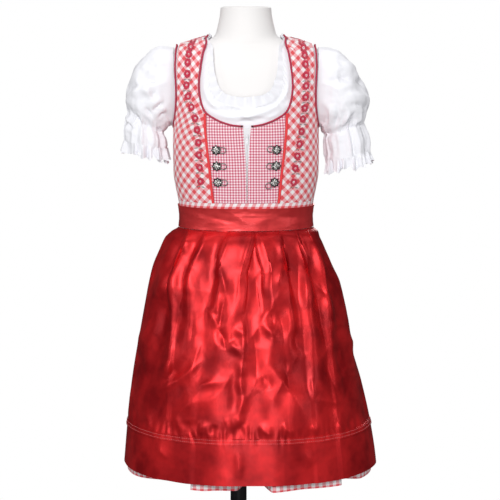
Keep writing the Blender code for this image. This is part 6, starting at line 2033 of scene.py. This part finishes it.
def petal(turn, long, wide, lift):
    """Points and faces of one cast petal with a groove down its middle; it faces -Y."""
    cos, sin = math.cos(turn), math.sin(turn)
    rings = []
    for share, spread, height in PETAL_RINGS:
        reach, half, rise = long * share, wide * spread / 2, HOOK_THICK * height + lift
        side = [(half * across, rise + drop * MM) for across, drop in PETAL_SIDES]
        rings.append([
            (reach * cos - off * sin, -up, reach * sin + off * cos) for off, up in side
        ] + [(reach * cos, 0.0, reach * sin)])
    return capped(rings)


def edelweiss():
    """(dark, bright) points and faces of a cast edelweiss that faces -Y."""
    radius = HOOK_R * HOOK_GROWTH
    turns = full_turn(BACK_SIDES)
    reach = radius * (1.04 + 0.15 * np.cos(len(PETALS) * turns - 0.2))
    disc = [
        np.column_stack([
            reach * share * np.cos(turns), -HOOK_THICK * depth + 0 * turns,
            reach * share * np.sin(turns),
        ])
        for share, depth in BACK_RINGS
    ]
    bright = [
        petal(math.radians(turn), radius * long, radius * wide, 0.0) for turn, long, wide in PETALS
    ]
    bright += [
        petal(2 * math.pi * (k + 0.35) / SMALL_PETALS, radius * 0.58, radius * 0.22, SMALL_LIFT)
        for k in range(SMALL_PETALS)
    ]
    for k in range(BEADS_ROUND + 1):
        reach = 0.0 if k == BEADS_ROUND else BEAD_REACH
        turn = k * math.pi / 3
        middle = (reach * math.cos(turn), -HOOK_THICK * 0.95, reach * math.sin(turn))
        bright.append(bead(middle, BEAD_R))
    return capped(disc, flipped=True), joined(bright)


def bead(middle, radius):
    """Points and faces of a small ball."""
    rows, sides = 6, 8
    turns = full_turn(sides)
    points = [[0, 0, radius]]
    for k in range(1, rows):
        lean = math.pi * k / rows
        points += [[radius * math.sin(lean) * math.cos(t), radius * math.sin(lean) * math.sin(t),
                    radius * math.cos(lean)] for t in turns]
    points.append([0, 0, -radius])
    faces = []
    for s in range(sides):
        t = (s + 1) % sides
        faces.append([0, 1 + s, 1 + t])
        for k in range(rows - 2):
            a = 1 + k * sides
            faces.append([a + s, a + sides + s, a + sides + t, a + t])
        a = 1 + (rows - 2) * sides
        faces.append([a + s, len(points) - 1, a + t])
    return np.array(points) + np.array(middle), faces


def eye_ring(turn):
    """The D-shaped wire eye beside the flower, its straight side next to it."""
    around = full_turn(RING_SIDES)
    along = HOOK_R + RING_R + np.maximum(RING_R * np.cos(around), -RING_R * 0.6) * 1.3
    wide = RING_R * 1.1 * np.sin(around)
    cos, sin = math.cos(turn), math.sin(turn)
    centres = np.column_stack([
        along * cos - wide * sin, np.full(RING_SIDES, -RING_WIRE * 1.3),
        along * sin + wide * cos,
    ])
    return cord_mesh(centres, RING_WIRE * 0.85, 10, closed=True, up=np.array([0, -1.0, 0]))


def build_bar_tacks():
    """Five short dark stitches on each side of the opening, over the ends of the neck's piping
    beside the zip.
    """
    height = NECKLINE[0][0]
    gap = float(front_gap(height)[0])
    parts = []
    for way in (-1, 1):
        for k in range(-2, 3):
            rise = k * TACK_PITCH
            inner = (ZIP_X + way * (gap + 0.2 * MM), height + rise)
            outer = (ZIP_X + way * (gap + TACK_LONG), height + rise)
            parts.append(stitch("tack", inner, outer))
    add_mesh("neck_bar_tacks", *joined(parts), "thread_dark", sharp=80)


def build_hooks():
    for name, x, height, turn in HOOKS:
        where = surface_frame(x, height, BODICE_FACES[1] + SEAM_GAP)
        back, petals = edelweiss()
        for part, (points, faces), finish in (
            ("back", back, "black_silver"), ("petals", petals, "bright_silver"),
            ("eye", eye_ring(math.radians(turn)), "antique_silver"),
        ):
            made = add_mesh(f"{name}_{part}", placed(points, where), faces, finish, sharp=40)
            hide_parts(name)


TOOTH_PITCH = 1.5 * MM
TOOTH = (1.5 * MM, 0.9 * MM, 0.75 * MM)
TOOTH_ROUND, TOOTH_SINK = 0.25 * MM, 0.1 * MM
TEETH_APART, TEETH_SPREAD = 0.55 * MM, 1.0 * MM    # from the middle, and more over the slider
TAPE_ROWS, TAPE_COLUMNS = 40, 8
SLIDER_ROUND = 0.6 * MM


def build_zip():
    """Teeth down the opening, and a slider whose pull swings on its own body."""
    rows = np.linspace(WAIST, ZIP_TOP, TAPE_ROWS)
    for side, way in (("left", -1), ("right", 1)):
        xs = ZIP_X + way * (ZIP_SPLIT + np.linspace(0, ZIP_TAPE_WIDTH, TAPE_COLUMNS))
        grid = np.array([[seen_from_front(x, z) for x in sorted(xs)] for z in rows])
        inner, outer = (lifted(grid, face) for face in ZIP_FACES)
        made = shell(f"zip_tape_{side}_cloth", outer, inner, "zip_white")
        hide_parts(f"zip_tape_{side}")
    teeth = []
    points, faces = rounded_box(TOOTH, TOOTH_ROUND)
    points = points + [0, -TOOTH[1] / 2 + TOOTH_SINK, 0]
    for k, height in enumerate(np.arange(WAIST + 1 * MM, ZIP_TOP - 1 * MM, TOOTH_PITCH)):
        way = 1 if k % 2 else -1
        apart = TEETH_APART + TEETH_SPREAD * float(smooth(SLIDER_HEIGHT, ZIP_TOP, height))
        where = surface_frame(ZIP_X + way * apart, height, ZIP_FACES[1])
        teeth.append((placed(points, where), faces))
    add_mesh("zip_teeth", *joined(teeth), "zip_white", sharp=50)
    where = surface_frame(ZIP_X, SLIDER_HEIGHT, ZIP_FACES[1] + SEAM_GAP)
    points, faces = rounded_box((SLIDER_W, SLIDER_T, SLIDER_L), SLIDER_ROUND)
    points, faces = joined([(points + [0, -SLIDER_T / 2, 0], faces), slider_arch()])
    made = add_mesh("zip_slider_metal", placed(points, where), faces, "white_metal", sharp=40)
    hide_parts("zip_slider")
    build_pull(where)


def slider_arch():
    """Points and faces of the wire arch on the slider, which the pull hangs on."""
    out, high = -SLIDER_T - EYE_SPACE, EYE_SPACE / 2
    upper = [
        (0, -SLIDER_T * 0.4, high + EYE_BAR / 2), (0, out * 0.85, high + EYE_BAR / 2),
        (0, out - EYE_BAR / 2, high * 0.7),
    ]
    lower = [(x, y, -z) for x, y, z in upper[::-1]]
    return cord_mesh(upper + lower, EYE_BAR / 2, 8, up=np.array([1.0, 0, 0]))


def rounded_box(size, round_by):
    """Points and faces of a box with chamfered edges, centred."""
    half = np.array(size) / 2
    hull = bmesh.new()
    for axis in range(3):
        a, b = (axis + 1) % 3, (axis + 2) % 3
        for way in (-1, 1):
            for side_a, side_b in ((-1, -1), (1, -1), (1, 1), (-1, 1)):
                point = np.zeros(3)
                point[axis] = way * half[axis]
                point[a] = side_a * (half[a] - round_by)
                point[b] = side_b * (half[b] - round_by)
                hull.verts.new(point)
    bmesh.ops.convex_hull(hull, input=hull.verts)
    hull.verts.index_update()
    bmesh.ops.recalc_face_normals(hull, faces=hull.faces)
    points = np.array([v.co[:] for v in hull.verts])
    faces = [[v.index for v in face.verts] for face in hull.faces]
    hull.free()
    return points, faces


def build_pull(where):
    """A flat pull with round ends and a slot that hangs on the slider's arch."""
    half = PULL_W / 2
    low, high = -PULL_L + half, PULL_T / 2 - half * 0.5
    turns = np.linspace(0, math.pi, 12)
    outline = [(half * math.cos(t), high + half * 0.5 * math.sin(t)) for t in turns]
    outline += [(-half * math.cos(t), low - half * math.sin(t)) for t in turns]
    slot_low, slot_high = -PULL_T / 2 - PULL_HOLE_L + PULL_SLOT_R, -PULL_T / 2 - PULL_SLOT_R
    slot = [(PULL_SLOT_R * math.cos(t), slot_high + PULL_SLOT_R * math.sin(t)) for t in turns]
    slot += [(-PULL_SLOT_R * math.cos(t), slot_low - PULL_SLOT_R * math.sin(t)) for t in turns]
    count = len(outline)
    middle_y = -SLIDER_T - EYE_SPACE / 2
    rings = []
    for line, depth, grow in (
        (slot, -0.5, 1.0), (slot, 0.5, 1.0), (outline, 0.5, 0.93), (outline, 0.25, 1.0),
        (outline, -0.25, 1.0), (outline, -0.5, 0.93),
    ):
        rings.append([(x * grow, middle_y + depth * PULL_T, z) for x, z in line])
    points = np.array(rings).reshape(-1, 3)
    faces = []
    for ring in range(len(rings)):
        after = (ring + 1) % len(rings)
        for k in range(count):
            n = (k + 1) % count
            faces.append([ring * count + k, ring * count + n, after * count + n, after * count + k])
    faces = outward(points, np.array(faces)).tolist()
    made = add_mesh("zip_pull_metal", placed(points, where), faces, "white_metal", sharp=40,
                    body="pull_tab")
    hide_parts("zip_pull")


# Stage, light and camera

ROOM_LIGHT, ROOM_GLOSS = 0.34, 0.03      # of the white room, which itself looks fully white


def build_stage():
    world = bpy.data.worlds.new("studio")
    bpy.context.scene.world = world
    world.use_nodes = True
    tree = world.node_tree
    background = tree.nodes["Background"]
    background.inputs["Color"].default_value = (1, 1, 1, 1)
    path_kind = tree.nodes.new("ShaderNodeLightPath")
    gloss = tree.nodes.new("ShaderNodeMapRange")
    gloss.inputs["To Min"].default_value = ROOM_LIGHT
    gloss.inputs["To Max"].default_value = ROOM_GLOSS
    tree.links.new(path_kind.outputs["Is Glossy Ray"], gloss.inputs["Value"])
    strength = tree.nodes.new("ShaderNodeMapRange")
    tree.links.new(gloss.outputs[0], strength.inputs["To Min"])
    tree.links.new(path_kind.outputs["Is Camera Ray"], strength.inputs["Value"])
    tree.links.new(strength.outputs[0], background.inputs["Strength"])


SOFTBOXES = (
    # name, place, height it is aimed at on the axis, width and height, power in watts
    ("key", (-0.45, -2.7, 2.0), 0.7, (1.1, 0.9), 50),
    ("low", (0.02, -2.75, 0.46), 0.78, (0.34, 0.30), 8),
    ("left", (-2.2, -1.3, 1.3), 0.7, (0.5, 1.4), 6),
    ("right", (2.2, -1.5, 1.3), 0.7, (0.5, 1.4), 7),
    ("behind", (0.6, 2.6, 1.8), 0.7, (1.2, 1.2), 26),
    ("top", (0.0, 0.1, 2.6), 0.7, (1.0, 1.0), 8),
)
CAMERA_PLACE, CAMERA_AIM = (0.0006, -2.6532, 1.075), (0.0006, 0.0068, 0.72)
LENS, SENSOR = 113.66, 36


def aimed(name, data, place, aim):
    """An object of that data at the place, turned towards the aim."""
    made = bpy.data.objects.new(name, data)
    made.location = place
    made.rotation_euler = (Vector(aim) - Vector(place)).to_track_quat("-Z", "Y").to_euler()
    bpy.context.scene.collection.objects.link(made)
    return made


def add_lights():
    for name, place, aim_height, size, power in SOFTBOXES:
        light = bpy.data.lights.new(name, "AREA")
        light.shape = "RECTANGLE"
        light.size, light.size_y = size
        light.energy = power
        aimed(name, light, place, (0, 0, aim_height))


def add_camera():
    data = bpy.data.cameras.new("camera")
    data.lens, data.sensor_width = LENS, SENSOR
    bpy.context.scene.camera = aimed("camera", data, CAMERA_PLACE, CAMERA_AIM)


def main():
    bpy.context.scene.view_settings.view_transform = "Standard"
    build_stage()
    add_lights()
    add_camera()
    build_form()
    finish_stand()
    build_blouse()
    build_bodice()
    build_piping()
    build_waistband()
    build_skirt()
    build_apron()
    build_bow()
    build_embroidery()
    build_bar_tacks()
    build_hooks()
    build_zip()


main()
